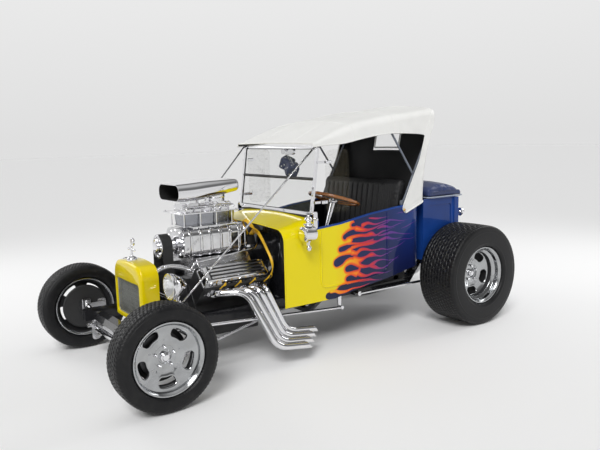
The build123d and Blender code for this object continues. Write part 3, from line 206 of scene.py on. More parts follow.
def rubberFinish():
    # "wall" runs from 0 at the rim to 1 at the tread, and "turn" is the angle round the tyre
    made = Finish("tyreRubber", (.015, .015, .016), .6, 0.0, Specular_IOR_Level=.3)
    dust = made.noise(22, 5).ramp(.45, .75)
    made.set("Base Color", made.mix(dust, (.006, .006, .007), (.013, .013, .013)))
    made.set("Roughness", dust * .18 + .38)
    wall, turn = made.attribute("wall"), made.attribute("turn")
    # raised rings round each sidewall, at set shares of its height, and fine ribs between two of them
    rings = (wall.ramp(.16, .18) - wall.ramp(.21, .23)) + (wall.ramp(.66, .68) - wall.ramp(.7, .72))
    ribs = (turn * 220).wave() * (wall.ramp(.78, .8) - wall.ramp(.92, .94)) * .35
    made.bump(made.noise(420, 3) * .3 + rings + ribs, .0014, .6)
    return made


def vinylFinish(name, color, weave=1400, rough=.5, depth=.0005):
    # coated cloth: a fine cross weave and soft soiling
    made = Finish(name, color, rough, 0.0, Sheen_Weight=.12, Sheen_Roughness=.5)
    x, y, z = made.axes()
    cross = (x * weave).wave() * (y * weave).wave() + (z * weave).wave() * .6
    soil = made.noise(5, 5).ramp(.35, .8)
    made.set("Base Color", made.mix(soil, color, [c * .93 for c in color]))
    made.set("Roughness", soil * .1 + rough)
    made.bump(cross * .5 + made.noise(30, 3) * 2.0, depth, .5)
    return made


def leatherFinish(name, color, rough):
    # pebbled hide: cells of a Voronoi pattern with creases between them
    made = Finish(name, color, rough, 0.0)
    grain = made.add("ShaderNodeTexVoronoi", {"feature": "DISTANCE_TO_EDGE"}, {"Vector": made.place(), "Scale": 380.0})
    cells = Value(made, grain.outputs["Distance"])
    wear = made.noise(8, 4).ramp(.4, .75)
    made.set("Base Color", made.mix(wear, color, [c * 1.6 + .004 for c in color]))
    made.set("Roughness", wear * .15 + rough)
    made.bump(cells.ramp(0.0, .12), .0006, .5)
    return made


def satinFinish(name, color, rough, metallic=0.0):
    # plain matt or half-gloss stuff with cloudy grime
    made = Finish(name, color, rough, metallic)
    grime = made.noise(11, 5).ramp(.4, .75)
    made.set("Base Color", made.mix(grime, color, [c * .7 + .006 for c in color]))
    made.set("Roughness", grime * .2 + rough)
    made.bump(made.noise(120, 3), .0006, .3)
    return made


def woodFinish():
    # varnished wood, streaked along x
    made = Finish("wheelWood", (.34, .12, .03), .25, 0.0, Coat_Weight=.8, Coat_Roughness=.06)
    streak = made.noise(40, 5, (1, 6, 6)).ramp(.3, .7)
    made.set("Base Color", made.mix(streak, (.42, .16, .04), (.2, .065, .018)))
    return made


def glassFinish(name, tint, alpha):
    # thin clear sheet: mostly see-through, with the shader's own reflections
    made = Finish(name, tint, .02, 0.0, IOR=1.5)
    made.set("Alpha", made.noise(4, 2) * .04 + alpha)
    made.material.surface_render_method = "DITHERED"
    return made


def etchedFinish():
    # clear glass with a pattern of fine curling lines, each where a cloudy field crosses its middle value
    made = Finish("etchedGlass", (.16, .14, .09), .05, 0.0, IOR=1.5)
    lines = 1 - abs(made.noise(26, 2, (0, 1, 1), .4) - .5).ramp(.004, .016)
    made.set("Alpha", lines * .12 + .045)
    made.material.surface_render_method = "DITHERED"
    return made


chrome = chromeFinish("chrome", (.83, .83, .85), .045)
alloy = polishedFinish("polishedAlloy", (.78, .78, .8), .14)
rimAlloy = polishedFinish("rimAlloy", (.5, .51, .52), .1)
steel = polishedFinish("polishedSteel", (.62, .62, .64), .2)
carbAlloy = polishedFinish("carbAlloy", (.36, .37, .4), .16)
brakeIron = satinFinish("brakeIron", (.1, .1, .105), .42, .8)
# painted shade: a dark metal for the wheels' inner barrels and slot edges, standing in for the shade inside the wheel
barrelPaintedShade = satinFinish("barrelPaintedShade", (.045, .045, .048), .5, .6)
grilleMetal = satinFinish("grilleMetal", (.34, .35, .33), .35, .6)
flames = flameFinish()
yellowPaint = paintFinish("frontPaint", (.8, .66, 0.0), (.76, .58, 0.0))
bluePaint = paintFinish("bedPaint", (.01, .055, .27), (.008, .04, .2))
blackPaint = paintFinish("framePaint", (.012, .012, .014), (.009, .009, .011), .25)
engineBlack = satinFinish("enginePaint", (.014, .014, .015), .4)
darkSatin = satinFinish("darkPlastic", (.02, .02, .021), .5)
darkInside = satinFinish("darkInside", (.004, .004, .004), .8)
rubber = rubberFinish()
beltRubber = satinFinish("beltRubber", (.016, .016, .016), .6)
whiteVinyl = vinylFinish("whiteVinyl", (.83, .83, .81))
blackCloth = vinylFinish("blackCloth", (.006, .006, .007), 900, .85)
blueVinyl = vinylFinish("coverVinyl", (.018, .034, .12), 1200, .36)
blackLeather = leatherFinish("blackLeather", (.006, .006, .007), .5)
carpet = vinylFinish("carpet", (.012, .012, .013), 700, .9, .002)
yellowRubber = satinFinish("plugWire", (.85, .5, .01), .4)
redRubber = satinFinish("redHose", (.55, .02, .02), .4)
wood = woodFinish()
clearGlass = glassFinish("clearGlass", (.2, .23, .22), .045)
etchedGlass = etchedFinish()
lensGlass = glassFinish("lensGlass", (.9, .92, .92), .28)
amber = satinFinish("redLens", (.5, .01, .01), .15)
brass = polishedFinish("brass", (.62, .4, .16), .2)
whiteDial = satinFinish("whiteDial", (.75, .75, .72), .35)
reflector = Finish("reflector", (.88, .88, .9), .1, 1.0)
reflector.bump(reflector.noise(70, 2), .0006, .2)
chromeCover = polishedFinish("coverAlloy", (.8, .8, .81), .08)
print("finishes made")


# surfaces


def gridFaces(rows, cols, loopRows=False, loopCols=False):
    # quads between neighbouring rows and columns of a grid of points
    a, b = np.meshgrid(np.arange(rows if loopRows else rows - 1), np.arange(cols if loopCols else cols - 1),
        indexing="ij")
    a1, b1 = (a + 1) % rows, (b + 1) % cols
    return np.stack([a * cols + b, a1 * cols + b, a1 * cols + b1, a * cols + b1], -1).reshape(-1, 4)


class Shape:
    # points and faces gathered from several surfaces
    def __init__(self):
        self.points, self.faces, self.slots, self.count = [], [], [], 0

    def keep(self, points, faces, slots):
        self.points.append(points)
        self.faces.append(faces + self.count)
        self.slots.append(slots)
        self.count += len(points)

    def grid(self, points, loopRows=False, loopCols=False, slot=0, flip=False):
        # slot is one number, or one for each row
        faces = gridFaces(*points.shape[:2], loopRows, loopCols)
        if np.ndim(slot):
            slot = np.repeat(slot, len(faces) // len(slot))
        self.keep(points.reshape(-1, 3), faces[:, ::-1] if flip else faces, np.broadcast_to(slot, (len(faces),)))
        return self

    def mirror(self):
        # the same again on the car's other side
        for points, faces, slots in list(zip(self.points, self.faces, self.slots)):
            self.keep(points * [-1, 1, 1], faces[:, ::-1] - faces.min(), slots)
        return self


def mendMesh(mesh, change):
    # merges doubled corners, then makes the change
    work = bmesh.new()
    work.from_mesh(mesh)
    bmesh.ops.remove_doubles(work, verts=work.verts, dist=.00002)
    change(work)
    work.to_mesh(mesh)
    work.free()


def showMesh(name, mesh, finishes, replaces, body, sharp):
    # an object at the origin, smooth but for its sharp edges, that rides on a body
    mesh.polygons.foreach_set("use_smooth", np.ones(len(mesh.polygons), bool))
    mesh.set_sharp_from_angle(angle=radians(sharp))
    for finish in finishes:
        mesh.materials.append(finish.material)
    made = bpy.data.objects.new(name, mesh)
    bpy.context.scene.collection.objects.link(made)
    if replaces:
        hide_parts(replaces)
    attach(made, body)
    return made


def makePiece(name, shape, finishes, replaces=None, body="chassis", sharp=38, fields={}, recalc=True):
    # a new piece from a shape, with the fields as attributes of its points
    mesh = bpy.data.meshes.new(name)
    mesh.from_pydata(np.concatenate(shape.points), [], np.concatenate(shape.faces))
    mesh.polygons.foreach_set("material_index", np.concatenate(shape.slots).astype(np.int32))
    for key, values in fields.items():
        mesh.attributes.new(key, "FLOAT", "POINT").data.foreach_set("value", np.asarray(values, np.float32))
    mendMesh(mesh, lambda work: recalc and bmesh.ops.recalc_face_normals(work, faces=work.faces))
    return showMesh(name, mesh, finishes if isinstance(finishes, list) else [finishes], replaces, body, sharp)


def dressNode(node, finishes, pick=None, bevel=0, above=None):
    # a CAD node's own shape, with its doubled corners merged, its flats whole and its edges eased
    def change(work):
        if bevel:
            bmesh.ops.dissolve_limit(work, angle_limit=radians(.4), verts=work.verts, edges=work.edges)
        if above:  # only what stands higher, closed again underneath
            under = [face for face in work.faces if face.calc_center_median().z < above]
            bmesh.ops.delete(work, geom=under, context="FACES")
            bmesh.ops.holes_fill(work, edges=[edge for edge in work.edges if edge.is_boundary], sides=0)

    mesh = frame["nodes"][node].data.copy()
    mendMesh(mesh, change)
    mesh.materials.clear()
    index = np.zeros(len(mesh.polygons), np.int32)
    if pick:
        centers = np.empty(len(index) * 3)
        mesh.polygons.foreach_get("center", centers)
        index = pick(centers.reshape(-1, 3)).astype(np.int32)
    mesh.polygons.foreach_set("material_index", index)
    words = node.split("_")
    made = showMesh(words[0] + "".join(w.title() for w in words[1:]) + "Shown", mesh,
        finishes if isinstance(finishes, list) else [finishes], node, bodyOf[node], 32)
    if bevel:
        ease = made.modifiers.new("easedEdges", "BEVEL")
        ease.width, ease.segments, ease.limit_method, ease.angle_limit = bevel, 2, "ANGLE", radians(28)
        ease.use_clamp_overlap = True
    return made


bodyOf = {node: body for body, nodes in frame["record"]["behaviour"]["bodies"].items() for node in nodes}


def mm(*numbers):
    # points of two coordinates, given one after another in millimetres
    return np.reshape(numbers, (-1, 2)) / 1000


def smoothPath(points, steps=10):
    # Catmull-Rom curve through the points: a cubic between each pair, shaped by their neighbours
    p = np.asarray(points, float)
    p = np.vstack([2 * p[0] - p[1], p, 2 * p[-1] - p[-2]])
    t = np.linspace(0, 1, steps, endpoint=False)[None, :, None]
    a, b, c, d = (p[k:len(p) - 3 + k, None, :] for k in range(4))
    curve = .5 * (2 * b + (c - a) * t + (2 * a - 5 * b + 4 * c - d) * t ** 2 + (3 * b - a - 3 * c + d) * t ** 3)
    return np.vstack([curve.reshape(-1, p.shape[1]), p[-2]])


def bentPath(points, bend, steps=7):
    # straight runs joined by parabolas that leave each corner's two runs "bend" metres from it
    p = np.asarray(points, float)
    to = p[1:] - p[:-1]
    length = np.linalg.norm(to, axis=1, keepdims=True)
    to = to / length
    reach = np.minimum(bend, .48 * np.minimum(length[1:], length[:-1]))
    start, corner, end = p[1:-1] - to[:-1] * reach, p[1:-1], p[1:-1] + to[1:] * reach
    t = np.linspace(0, 1, steps)[None, :, None]
    curve = (1 - t) ** 2 * start[:, None] + 2 * t * (1 - t) * corner[:, None] + t ** 2 * end[:, None]
    return np.vstack([p[:1], curve.reshape(-1, p.shape[1]), p[-1:]])


def roundedLoop(points, bend, steps=3):
    # a closed outline in the plane with its corners rounded
    p = np.asarray(points, float)
    middle = (p[:1] + p[-1:]) / 2
    return bentPath(np.vstack([middle, p, middle]), bend, steps)[:-1]


def pathFrames(path):
    # unit tangents, and two normals from the flattest plane through the path
    path = np.asarray(path, float)
    along = np.gradient(path, axis=0)
    along /= np.linalg.norm(along, axis=1, keepdims=True)
    flat = np.linalg.svd(path - path.mean(0), full_matrices=True)[2][2]
    side = np.cross(along, flat)
    size = np.linalg.norm(side, axis=1, keepdims=True)
    side = np.where(size > 1e-4, side / np.maximum(size, 1e-6), np.cross(along, [.3, .5, .8]))
    side /= np.linalg.norm(side, axis=1, keepdims=True)
    return along, side, np.cross(along, side)


def circle(count):
    return np.linspace(0, 2 * pi, count, endpoint=False)


def pathRings(path, sides):
    # a unit circle square to the path at each of its points
    side, up = pathFrames(path)[1:]
    turn = circle(sides)
    return np.cos(turn)[None, :, None] * side[:, None] + np.sin(turn)[None, :, None] * up[:, None]


def tube(shape, path, radius, sides=14, slot=0):
    # a circle of the given radius carried along the path, closed at both ends
    path = np.asarray(path, float)
    radius = np.broadcast_to(np.asarray(radius, float), (len(path),))
    points = path[:, None] + pathRings(path, sides) * radius[:, None, None]
    points = np.concatenate([np.repeat(path[:1, None], sides, 1), points, np.repeat(path[-1:, None], sides, 1)])
    return shape.grid(points, loopCols=True, slot=slot)


def revolve(shape, profile, centre, axis, steps=48, slot=0):
    # a profile of (along the axis, radius) turned about the axis
    profile = np.asarray(profile, float)
    axis = np.asarray(axis, float) / np.linalg.norm(axis)
    side = np.cross(axis, [0, 0, 1.0] if abs(axis[2]) < .9 else [0, 1.0, 0])
    side /= np.linalg.norm(side)
    turn = circle(steps)
    ring = np.cos(turn)[:, None] * side + np.sin(turn)[:, None] * np.cross(axis, side)
    points = np.asarray(centre, float) + profile[:, 0, None, None] * axis + profile[:, 1, None, None] * ring[None]
    return shape.grid(points, loopCols=True, slot=slot)


def roundedBox(shape, low, high, radius=.004, slot=0, steps=3):
    # a box with rounded edges: the unit sphere's octants pushed out to the box's corners
    low, high = np.asarray(low, float), np.asarray(high, float)
    radius = min(radius, *((high - low) * .49))
    k = np.arange(4 * (steps + 1))
    w = np.concatenate([np.linspace(-pi / 2, 0, steps + 1), np.linspace(0, pi / 2, steps + 1)])
    turn, rise = np.meshgrid((k % (steps + 1) / steps + k // (steps + 1)) * pi / 2, w)
    quarter, upper = np.meshgrid(k // (steps + 1), np.arange(len(w)) > steps)
    unit = np.stack([np.cos(rise) * np.cos(turn), np.cos(rise) * np.sin(turn), np.sin(rise)], -1)
    side = np.stack([np.where(quarter % 3 == 0, 1, -1), np.where(quarter < 2, 1, -1), np.where(upper, 1, -1)], -1)
    middle = (low + high) / 2
    points = middle + side * ((high - low) / 2 - radius) + unit * radius
    caps = [np.broadcast_to([[*middle[:2], z]], (1, len(k), 3)) for z in (low[2], high[2])]
    return shape.grid(np.concatenate([caps[0], points, caps[1]]), loopCols=True, slot=slot)


def sideBox(shape, side, low, high, radius=.004, slot=0):
    # a rounded box given for the left side, there or mirrored
    low, high = np.asarray(low, float) * [side, 1, 1], np.asarray(high, float) * [side, 1, 1]
    return roundedBox(shape, np.minimum(low, high), np.maximum(low, high), radius, slot)


def roundedOutline(width, height, radius, steps=6, centre=(0, 0)):
    # a rectangle with quarter-circle corners
    corner = np.linspace(0, pi / 2, steps)
    turn = np.concatenate([corner + k * pi / 2 for k in range(4)])
    sx = np.repeat([1, -1, -1, 1], steps) * (width / 2 - radius)
    sy = np.repeat([1, 1, -1, -1], steps) * (height / 2 - radius)
    return np.stack([centre[0] + sx + radius * np.cos(turn), centre[1] + sy + radius * np.sin(turn)], -1)


def upright(flat, y):
    # an outline of (across, height) stood up at a place along the car
    return np.stack([flat[:, 0], np.full(len(flat), y), flat[:, 1]], -1)


# body tub and cowl

tub = {
    "half": .5, "wall": .02, "cornerR": .15, "rear": 2.3, "front": 1.232,
    "belt": [(1.2, .86), (1.46, .88), (1.725, .922), (2.0, .95), (2.09, .955), (2.32, .963)],
    "sill": [(1.2, .355), (1.4, .355), (1.6, .391), (1.9, .427), (2.13, .47), (2.32, .485)],
    "beltRollR": .0105, "beadR": .008, "doorFront": 1.277, "doorRear": 1.9, "doorLow": .449,
    "cowlFront": .975, "cowlRear": 1.232, "cowlCrown": (.9, .955), "cowlShoulder": (.084, .1), "sillZ": .355,
}
# the flames' tongues: station, height and half width, in millimetres
tongues = [
    [(1660, 851, 15), (1710, 862, 10), (1780, 846, 6), (1850, 855, 4), (1910, 865, 6), (1980, 858, 5),
     (2050, 847, 3), (2130, 853, 1)],
    [(1720, 897, 3), (1750, 893, 6), (1800, 887, 6), (1850, 888, 3), (1930, 893, 1)],
    [(1600, 833, 20), (1660, 818, 16), (1710, 812, 9), (1770, 819, 6), (1820, 832, 4), (1880, 845, 4),
     (1960, 868, 1)],
    [(1800, 812, 3), (1850, 822, 9), (1890, 819, 9), (1940, 810, 4), (2010, 825, 3), (2080, 838, 1)],
    [(1520, 760, 20), (1560, 775, 13), (1630, 779, 11), (1690, 774, 12), (1745, 779, 17), (1790, 765, 6),
     (1850, 785, 6), (1910, 793, 3), (1980, 806, 1)],
    [(1810, 758, 3), (1870, 762, 7), (1930, 770, 10), (1970, 765, 7), (2020, 754, 4), (2090, 742, 3),
     (2170, 738, 1)],
    [(1520, 737, 13), (1570, 728, 7), (1650, 722, 6), (1720, 731, 5), (1760, 738, 4)],
    [(1560, 700, 13), (1630, 708, 10), (1690, 710, 12), (1750, 715, 15), (1800, 718, 6), (1850, 728, 9),
     (1900, 735, 11), (1950, 721, 6), (2010, 717, 3), (2090, 726, 1)],
    [(1560, 662, 21), (1600, 656, 14), (1640, 675, 12), (1690, 672, 9), (1740, 658, 6), (1800, 655, 5),
     (1850, 656, 5), (1910, 645, 4), (2010, 660, 3), (2090, 692, 1)],
    [(1580, 606, 30), (1630, 600, 21), (1690, 615, 9), (1745, 626, 17), (1790, 613, 6), (1840, 604, 4),
     (1900, 617, 3), (1970, 636, 1)],
    [(1610, 570, 20), (1650, 551, 14), (1710, 545, 9), (1755, 556, 14), (1800, 574, 7), (1860, 574, 4),
     (1930, 560, 3), (2020, 572, 1)],
    [(1720, 545, 8), (1770, 531, 14), (1820, 513, 6), (1870, 514, 4), (1930, 543, 3), (2020, 585, 1)],
    [(1610, 505, 18), (1650, 485, 14), (1700, 476, 8), (1760, 485, 7), (1820, 480, 5), (1880, 472, 3),
     (1970, 488, 1)],
    [(1510, 449, 11), (1590, 450, 8), (1650, 448, 10), (1720, 444, 8), (1780, 431, 3), (1860, 428, 1)],
    [(1360, 412, 14), (1400, 408, 12), (1440, 393, 13), (1500, 391, 9), (1560, 402, 5), (1640, 402, 4),
     (1730, 417, 1)],
    [(2040, 788, 1), (2100, 800, 3), (2170, 822, 2), (2240, 835, 1)],
    [(2000, 700, 1), (2070, 706, 3), (2140, 700, 2), (2220, 716, 1)],
    [(1990, 905, 1), (2060, 912, 3), (2140, 905, 2), (2200, 910, 1)],
]
# the dark drops that the flames close round
drops = [
    [(1565, 862, 12), (1620, 868, 17), (1700, 882, 13)],
    [(1492, 783, 18), (1530, 799, 21), (1580, 808, 20), (1630, 803, 13), (1690, 791, 9), (1740, 797, 4)],
    [(1578, 754, 14), (1620, 753, 17), (1670, 750, 15), (1720, 750, 13), (1800, 742, 14)],
    [(1452, 698, 18), (1490, 704, 19), (1530, 713, 13), (1580, 717, 8), (1650, 714, 5), (1710, 719, 4)],
    [(1572, 685, 13), (1610, 691, 12), (1660, 694, 8), (1720, 690, 8), (1780, 696, 8)],
    [(1635, 652, 9), (1670, 656, 8), (1710, 664, 4)],
    [(1418, 608, 30), (1450, 619, 31), (1490, 635, 19), (1540, 641, 10), (1590, 631, 7), (1660, 627, 6),
     (1730, 643, 7), (1800, 636, 8)],
    [(1682, 580, 22), (1710, 586, 21), (1750, 596, 11), (1800, 604, 8)],
    [(1512, 550, 21), (1540, 553, 25), (1570, 549, 18), (1610, 541, 8)],
    [(1515, 477, 18), (1540, 480, 21), (1570, 472, 16), (1610, 462, 6)],
    [(1665, 502, 17), (1700, 513, 24), (1740, 516, 15), (1790, 506, 8)],
    [(1830, 545, 22), (1860, 545, 25), (1900, 536, 12)],
    [(1440, 423, 13), (1480, 427, 16), (1550, 424, 18), (1650, 424, 15), (1750, 420, 12)],
    [(1335, 382, 24), (1370, 384, 25), (1420, 366, 22), (1500, 362, 18), (1580, 376, 14)],
    [(1740, 462, 9), (1780, 463, 13), (1840, 455, 12)],
]
# station where the solid flame colour ends, at each height
flameEdge = [(.3, 1.33), (.38, 1.34), (.41, 1.38), (.44, 1.47), (.46, 1.57), (.51, 1.63), (.55, 1.64), (.6, 1.63),
    (.66, 1.6), (.69, 1.57), (.72, 1.54), (.76, 1.57), (.8, 1.53), (.83, 1.62), (.86, 1.6), (.9, 1.57)]


def strokeField(station, height, strokes):
    # how far inside the nearest stroke a point lies: its half width there, less the distance to its middle line
    best = np.full(station.shape, -1.0)
    for stroke in strokes:
        curve = smoothPath(np.array(stroke) / 1000, 5)
        a, b = curve[:-1, :, None], curve[1:, :, None]
        run = b[:, :2] - a[:, :2]
        there = np.stack([station, height])[None] - a[:, :2]
        t = np.clip((there * run).sum(1) / (run ** 2).sum(1), 0, 1)
        away = np.hypot(*np.moveaxis(there - t[:, None] * run, 1, 0))
        best = np.maximum(best, (a[:, 2] + t * (b[:, 2] - a[:, 2]) - away).max(0))
    return best


def heatAt(station, height):
    # positive in the flames: the solid front and the tongues, less the drops
    edge = np.asarray(flameEdge)
    solid = np.minimum(np.interp(height, edge[:, 0], edge[:, 1]) - station, -strokeField(station, height, drops))
    return np.maximum(solid, strokeField(station, height, tongues))


def beltAt(station):
    return np.interp(station, *np.transpose(tub["belt"]))


def sillAt(station):
    return np.interp(station, *np.transpose(tub["sill"]))


def tubPlan(inset, dense):
    # the tub seen from above: left side, rounded corner, rear, corner, right side; columns are x and station
    half, rear, r = tub["half"] - inset, tub["rear"] - inset, tub["cornerR"] - inset
    side = np.concatenate([np.linspace(tub["front"], 1.3, dense // 12, endpoint=False),
        np.linspace(1.3, rear - r, dense, endpoint=False)])
    turn = np.linspace(0, pi / 2, max(8, dense // 9))
    left = np.concatenate([np.stack([np.full(len(side), half), side], -1),
        np.stack([half - r + r * np.cos(turn), rear - r + r * np.sin(turn)], -1)])
    across = np.linspace(half - r, r - half, max(8, dense // 5))[1:-1]
    return np.concatenate([left, np.stack([across, np.full(len(across), rear)], -1), left[::-1] * [-1, 1]])


def buildTub():
    shape = Shape()
    plan, inner = tubPlan(0, 180), tubPlan(tub["wall"], 180)
    # each column goes up the outer skin and comes down the trimmed inside
    up = np.concatenate([np.linspace(0, 1, 112), np.linspace(1, 0, 6)])[:, None]
    outside = np.concatenate([np.ones(112), np.zeros(6)])[:, None, None]
    flat = outside * plan + (1 - outside) * inner
    low, high = sillAt(plan[:, 1]), beltAt(plan[:, 1]) - .002
    shape.grid(np.stack([flat[..., 0], at(flat[..., 1]), low + (high - low) * up], -1), loopRows=True,
        slot=[0] * 111 + [1] * 7)
    # the cowl: a row for each station, carried from sill to sill over the arch, then back inside it
    t = np.concatenate([np.linspace(0, 1, 44), np.linspace(1, 0, 8)])[:, None]
    inset = np.concatenate([np.zeros(44), np.full(8, .005)])[:, None]
    crown = np.interp(t, (0, 1), tub["cowlCrown"]) - inset
    shoulder = np.interp(t, (0, 1), tub["cowlShoulder"])
    half = tub["half"] - inset
    spring = crown - .016 - shoulder
    turn = np.linspace(0, pi / 2, 14)[None, 1:-1]
    over = np.linspace(1, 0, 26)[None]
    x = np.concatenate([np.broadcast_to(half, (len(t), 60)), half - shoulder + shoulder * np.cos(turn),
        (half - shoulder) * over], 1)
    z = np.concatenate([tub["sillZ"] + (spring - tub["sillZ"]) * np.linspace(0, 1, 60)[None],
        spring + shoulder * np.sin(turn), crown - .016 * over ** 2], 1)
    y = np.broadcast_to(at(tub["cowlFront"] + (tub["cowlRear"] - tub["cowlFront"]) * t), x.shape)
    halfArch = np.stack([x, y, z], -1)
    arch = np.concatenate([halfArch, halfArch[:, -2::-1] * [-1, 1, 1]], 1)
    shape.grid(arch, loopRows=True, slot=[0] * 43 + [1] * 9)
    # the cowl's rolled front lip
    tube(shape, arch[0][::3], .0045, 10)
    points = np.concatenate(shape.points)
    # the cowl is all flame colour, and the tub's back none
    cowl = points[:, 1] < at(tub["front"] - .0005)
    heat = np.where(cowl, .5, heatAt(points[:, 1] - frontAxleY, points[:, 2]))
    heat = np.where(cowl | (np.abs(points[:, 0]) >= tub["half"] - .03), heat, np.minimum(heat, -.2))
    makePiece("tubAndCowl", shape, [flames, blackCloth], "body_tub", fields={"flameDepth": heat},
        recalc=False)
    # belt roll
    roll = Shape()
    belt = tubPlan(tub["wall"] / 2, 40)
    path = np.stack([belt[:, 0], at(belt[:, 1]), beltAt(belt[:, 1]) - .001], -1)
    tube(roll, path, tub["beltRollR"], 14)
    makePiece("beltRoll", roll, bluePaint, sharp=60)
    # the door's raised bead: down the front, round the corner, along the low edge and up the rear
    bead = Shape()
    rear, low, front = tub["doorRear"], tub["doorLow"], tub["doorFront"]
    route = bentPath([(.4995, at(front), beltAt(front) - .014), (.4995, at(front), low), (.4995, at(1.62), low),
        (.4995, at(rear), .482), (.4995, at(rear), beltAt(rear) - .014)], .055, 9)
    dense = np.concatenate([np.linspace(a, b, max(2, int(np.linalg.norm(b - a) / .006)), endpoint=False)
        for a, b in zip(route[:-1], route[1:])] + [route[-1:]])
    tube(bead, dense, tub["beadR"], 10)
    bead.mirror()
    points = np.concatenate(bead.points)
    makePiece("doorBeads", bead, flames, sharp=80, recalc=False,
        fields={"flameDepth": heatAt(points[:, 1] - frontAxleY, points[:, 2])})


buildTub()
print("body made")


# camera, light and floor

studio = {
    # the room's level from straight down to straight up, and each lamp: place, aim, size and power; size 0 is a sun
    "room": [(0.0, .78), (.5, .738), (.6, .82), (.655, .3), (.74, .13), (.86, .2), (1.0, .75)],
    "lamps": {"keyLamp": ((3.2, -3.4, 4.6), (0, 0, 0), 0.0, 2.05),
              "fillLamp": ((-4.2, -2.6, 3.4), (0, 0, .6), 2.4, 45),
              "backLamp": ((.8, 5.2, 3.8), (0, 0, .7), 2.4, 60)},
    "sunAngle": 25, "floor": (.9, .9, .9), "floorHalf": 60,
}
view = {"place": (3.9564, -2.7211, 1.4934), "yaw": .950912, "pitch": .137122, "roll": .023622, "lens": 38.478}


def addTurned(name, data, x, y, z, place):
    # a lamp or camera with its own axes and place
    made = bpy.data.objects.new(name, data)
    turned = Matrix(np.stack([x, y, z], 1).tolist()).to_4x4()
    turned.translation = place
    made.matrix_world = turned
    bpy.context.scene.collection.objects.link(made)
    return made


def addCamera(view):
    # looks along forward, with right and down turned by the roll
    yaw, pitch, roll = view["yaw"], view["pitch"], view["roll"]
    forward = np.array([-sin(yaw) * cos(pitch), cos(yaw) * cos(pitch), -sin(pitch)])
    right = np.cross(forward, [0, 0, 1.0])
    right /= np.linalg.norm(right)
    down = np.cross(forward, right)
    right, down = cos(roll) * right + sin(roll) * down, cos(roll) * down - sin(roll) * right
    lens = bpy.data.cameras.new("camera")
    lens.sensor_width, lens.lens, lens.clip_end = 36.0, view["lens"], 200
    bpy.context.scene.camera = addTurned("camera", lens, right, -down, -forward, view["place"])


def addLamp(name, place, aim, size, power):
    # a lamp that faces its aim: a soft square one, or with no size a wide sun that lights the whole floor evenly
    data = bpy.data.lights.new(name, "AREA" if size else "SUN")
    data.energy = power
    if size:
        data.shape, data.size = "SQUARE", size
    else:
        data.angle = radians(studio["sunAngle"])
    z = np.subtract(place, aim)
    z /= np.linalg.norm(z)
    x = np.cross([0, 0, 1.0], z)
    x /= np.linalg.norm(x)
    addTurned(name, data, x, np.cross(z, x), z, place)


def addStudio():
    # a pale room, the same for every ray: even near the horizon, dim above it, brighter overhead
    world = bpy.data.worlds.new("studio")
    bpy.context.scene.world = world
    world.use_nodes = True
    tree = world.node_tree
    place = tree.nodes.new("ShaderNodeTexCoord")
    split = tree.nodes.new("ShaderNodeSeparateXYZ")
    shift = tree.nodes.new("ShaderNodeMapRange")
    shift.inputs["From Min"].default_value, shift.inputs["From Max"].default_value = -1, 1
    ramp = tree.nodes.new("ShaderNodeValToRGB")
    for k, (position, level) in enumerate(studio["room"]):
        stop = ramp.color_ramp.elements[k] if k < 2 else ramp.color_ramp.elements.new(position)
        stop.position, stop.color = position, (level, level, level, 1)
    for source, target in ((place.outputs["Generated"], split.inputs[0]), (split.outputs["Z"], shift.inputs["Value"]),
            (shift.outputs[0], ramp.inputs[0]), (ramp.outputs[0], tree.nodes["Background"].inputs["Color"])):
        tree.links.new(source, target)
    for name, values in studio["lamps"].items():
        addLamp(name, *values)
    floor = Shape()
    side = np.linspace(-studio["floorHalf"], studio["floorHalf"], 3)
    floor.grid(np.stack([*np.meshgrid(side, side, indexing="ij"), np.zeros((3, 3))], -1))
    mesh = bpy.data.meshes.new("floor")
    mesh.from_pydata(floor.points[0], [], floor.faces[0])
    mesh.materials.append(Finish("floorPale", studio["floor"], .9).material)
    made = bpy.data.objects.new("floor", mesh)
    bpy.context.scene.collection.objects.link(made)


addCamera(view)
addStudio()
bpy.context.scene.view_settings.view_transform = "Standard"


# wheels
wheels = {
    # x of the lip, station, and across, around and inside the wheel, in metres
    "front": {"lip": .803, "station": 0.0, "tyreR": .306, "tyreW": .18, "rimR": .21, "rimW": .15, "dish": .07,
              "spokeR": .192, "grooves": (-.054, -.027, 0, .027, .054), "grooveW": .003, "zigzag": .0022,
              "rows": 104, "steps": 320, "brakeBack": .055},
    "rear": {"lip": .8, "station": 2.635, "tyreR": .391, "tyreW": .34, "rimR": .22, "rimW": .3, "dish": .13,
             "spokeR": .178, "grooves": (-.126, -.098, -.07, -.042, -.014, .014, .042, .07, .098, .126),
             "grooveW": .0032, "zigzag": .0038, "rows": 160, "steps": 360, "brakeBack": .075},
    "slotAt": .142, "slotWide": .098, "slotHigh": .05, "slotR": .021, "slotStart": 54, "lugCircle": .057,
    "discBack": .014,
    "grooveDeep": .006, "sipeDeep": .0032, "lugs": 5, "slots": 5,
}


def wheelPoint(wheel, x, radius, turn):
    # a place by how far across the car it is, and by its distance and angle round the wheel's axle
    return np.stack([x, at(wheel["station"]) + radius * np.cos(turn), wheel["tyreR"] + radius * np.sin(turn)], -1)


def turned(shape, profile, wheel, side, steps, slot=0, closed=False, ripple=None):
    # a profile of (outboard from the wheel's middle, radius) turned about its axle
    profile = np.asarray(profile, float)
    centre = wheel["lip"] - wheel["rimW"] / 2
    turn = circle(steps)[None]
    radius = np.broadcast_to(profile[:, 1:], (len(profile), steps))
    if ripple is not None:
        radius = radius - ripple(profile[:, :1], turn)
    x = np.broadcast_to(side * (centre + profile[:, :1]), radius.shape)
    return shape.grid(wheelPoint(wheel, x, radius, turn), loopRows=closed, loopCols=True, slot=slot, flip=side > 0)


def wheelNames(end, side):
    hand = "left" if side > 0 else "right"
    return end + "_" + hand, end.title() + hand.title()


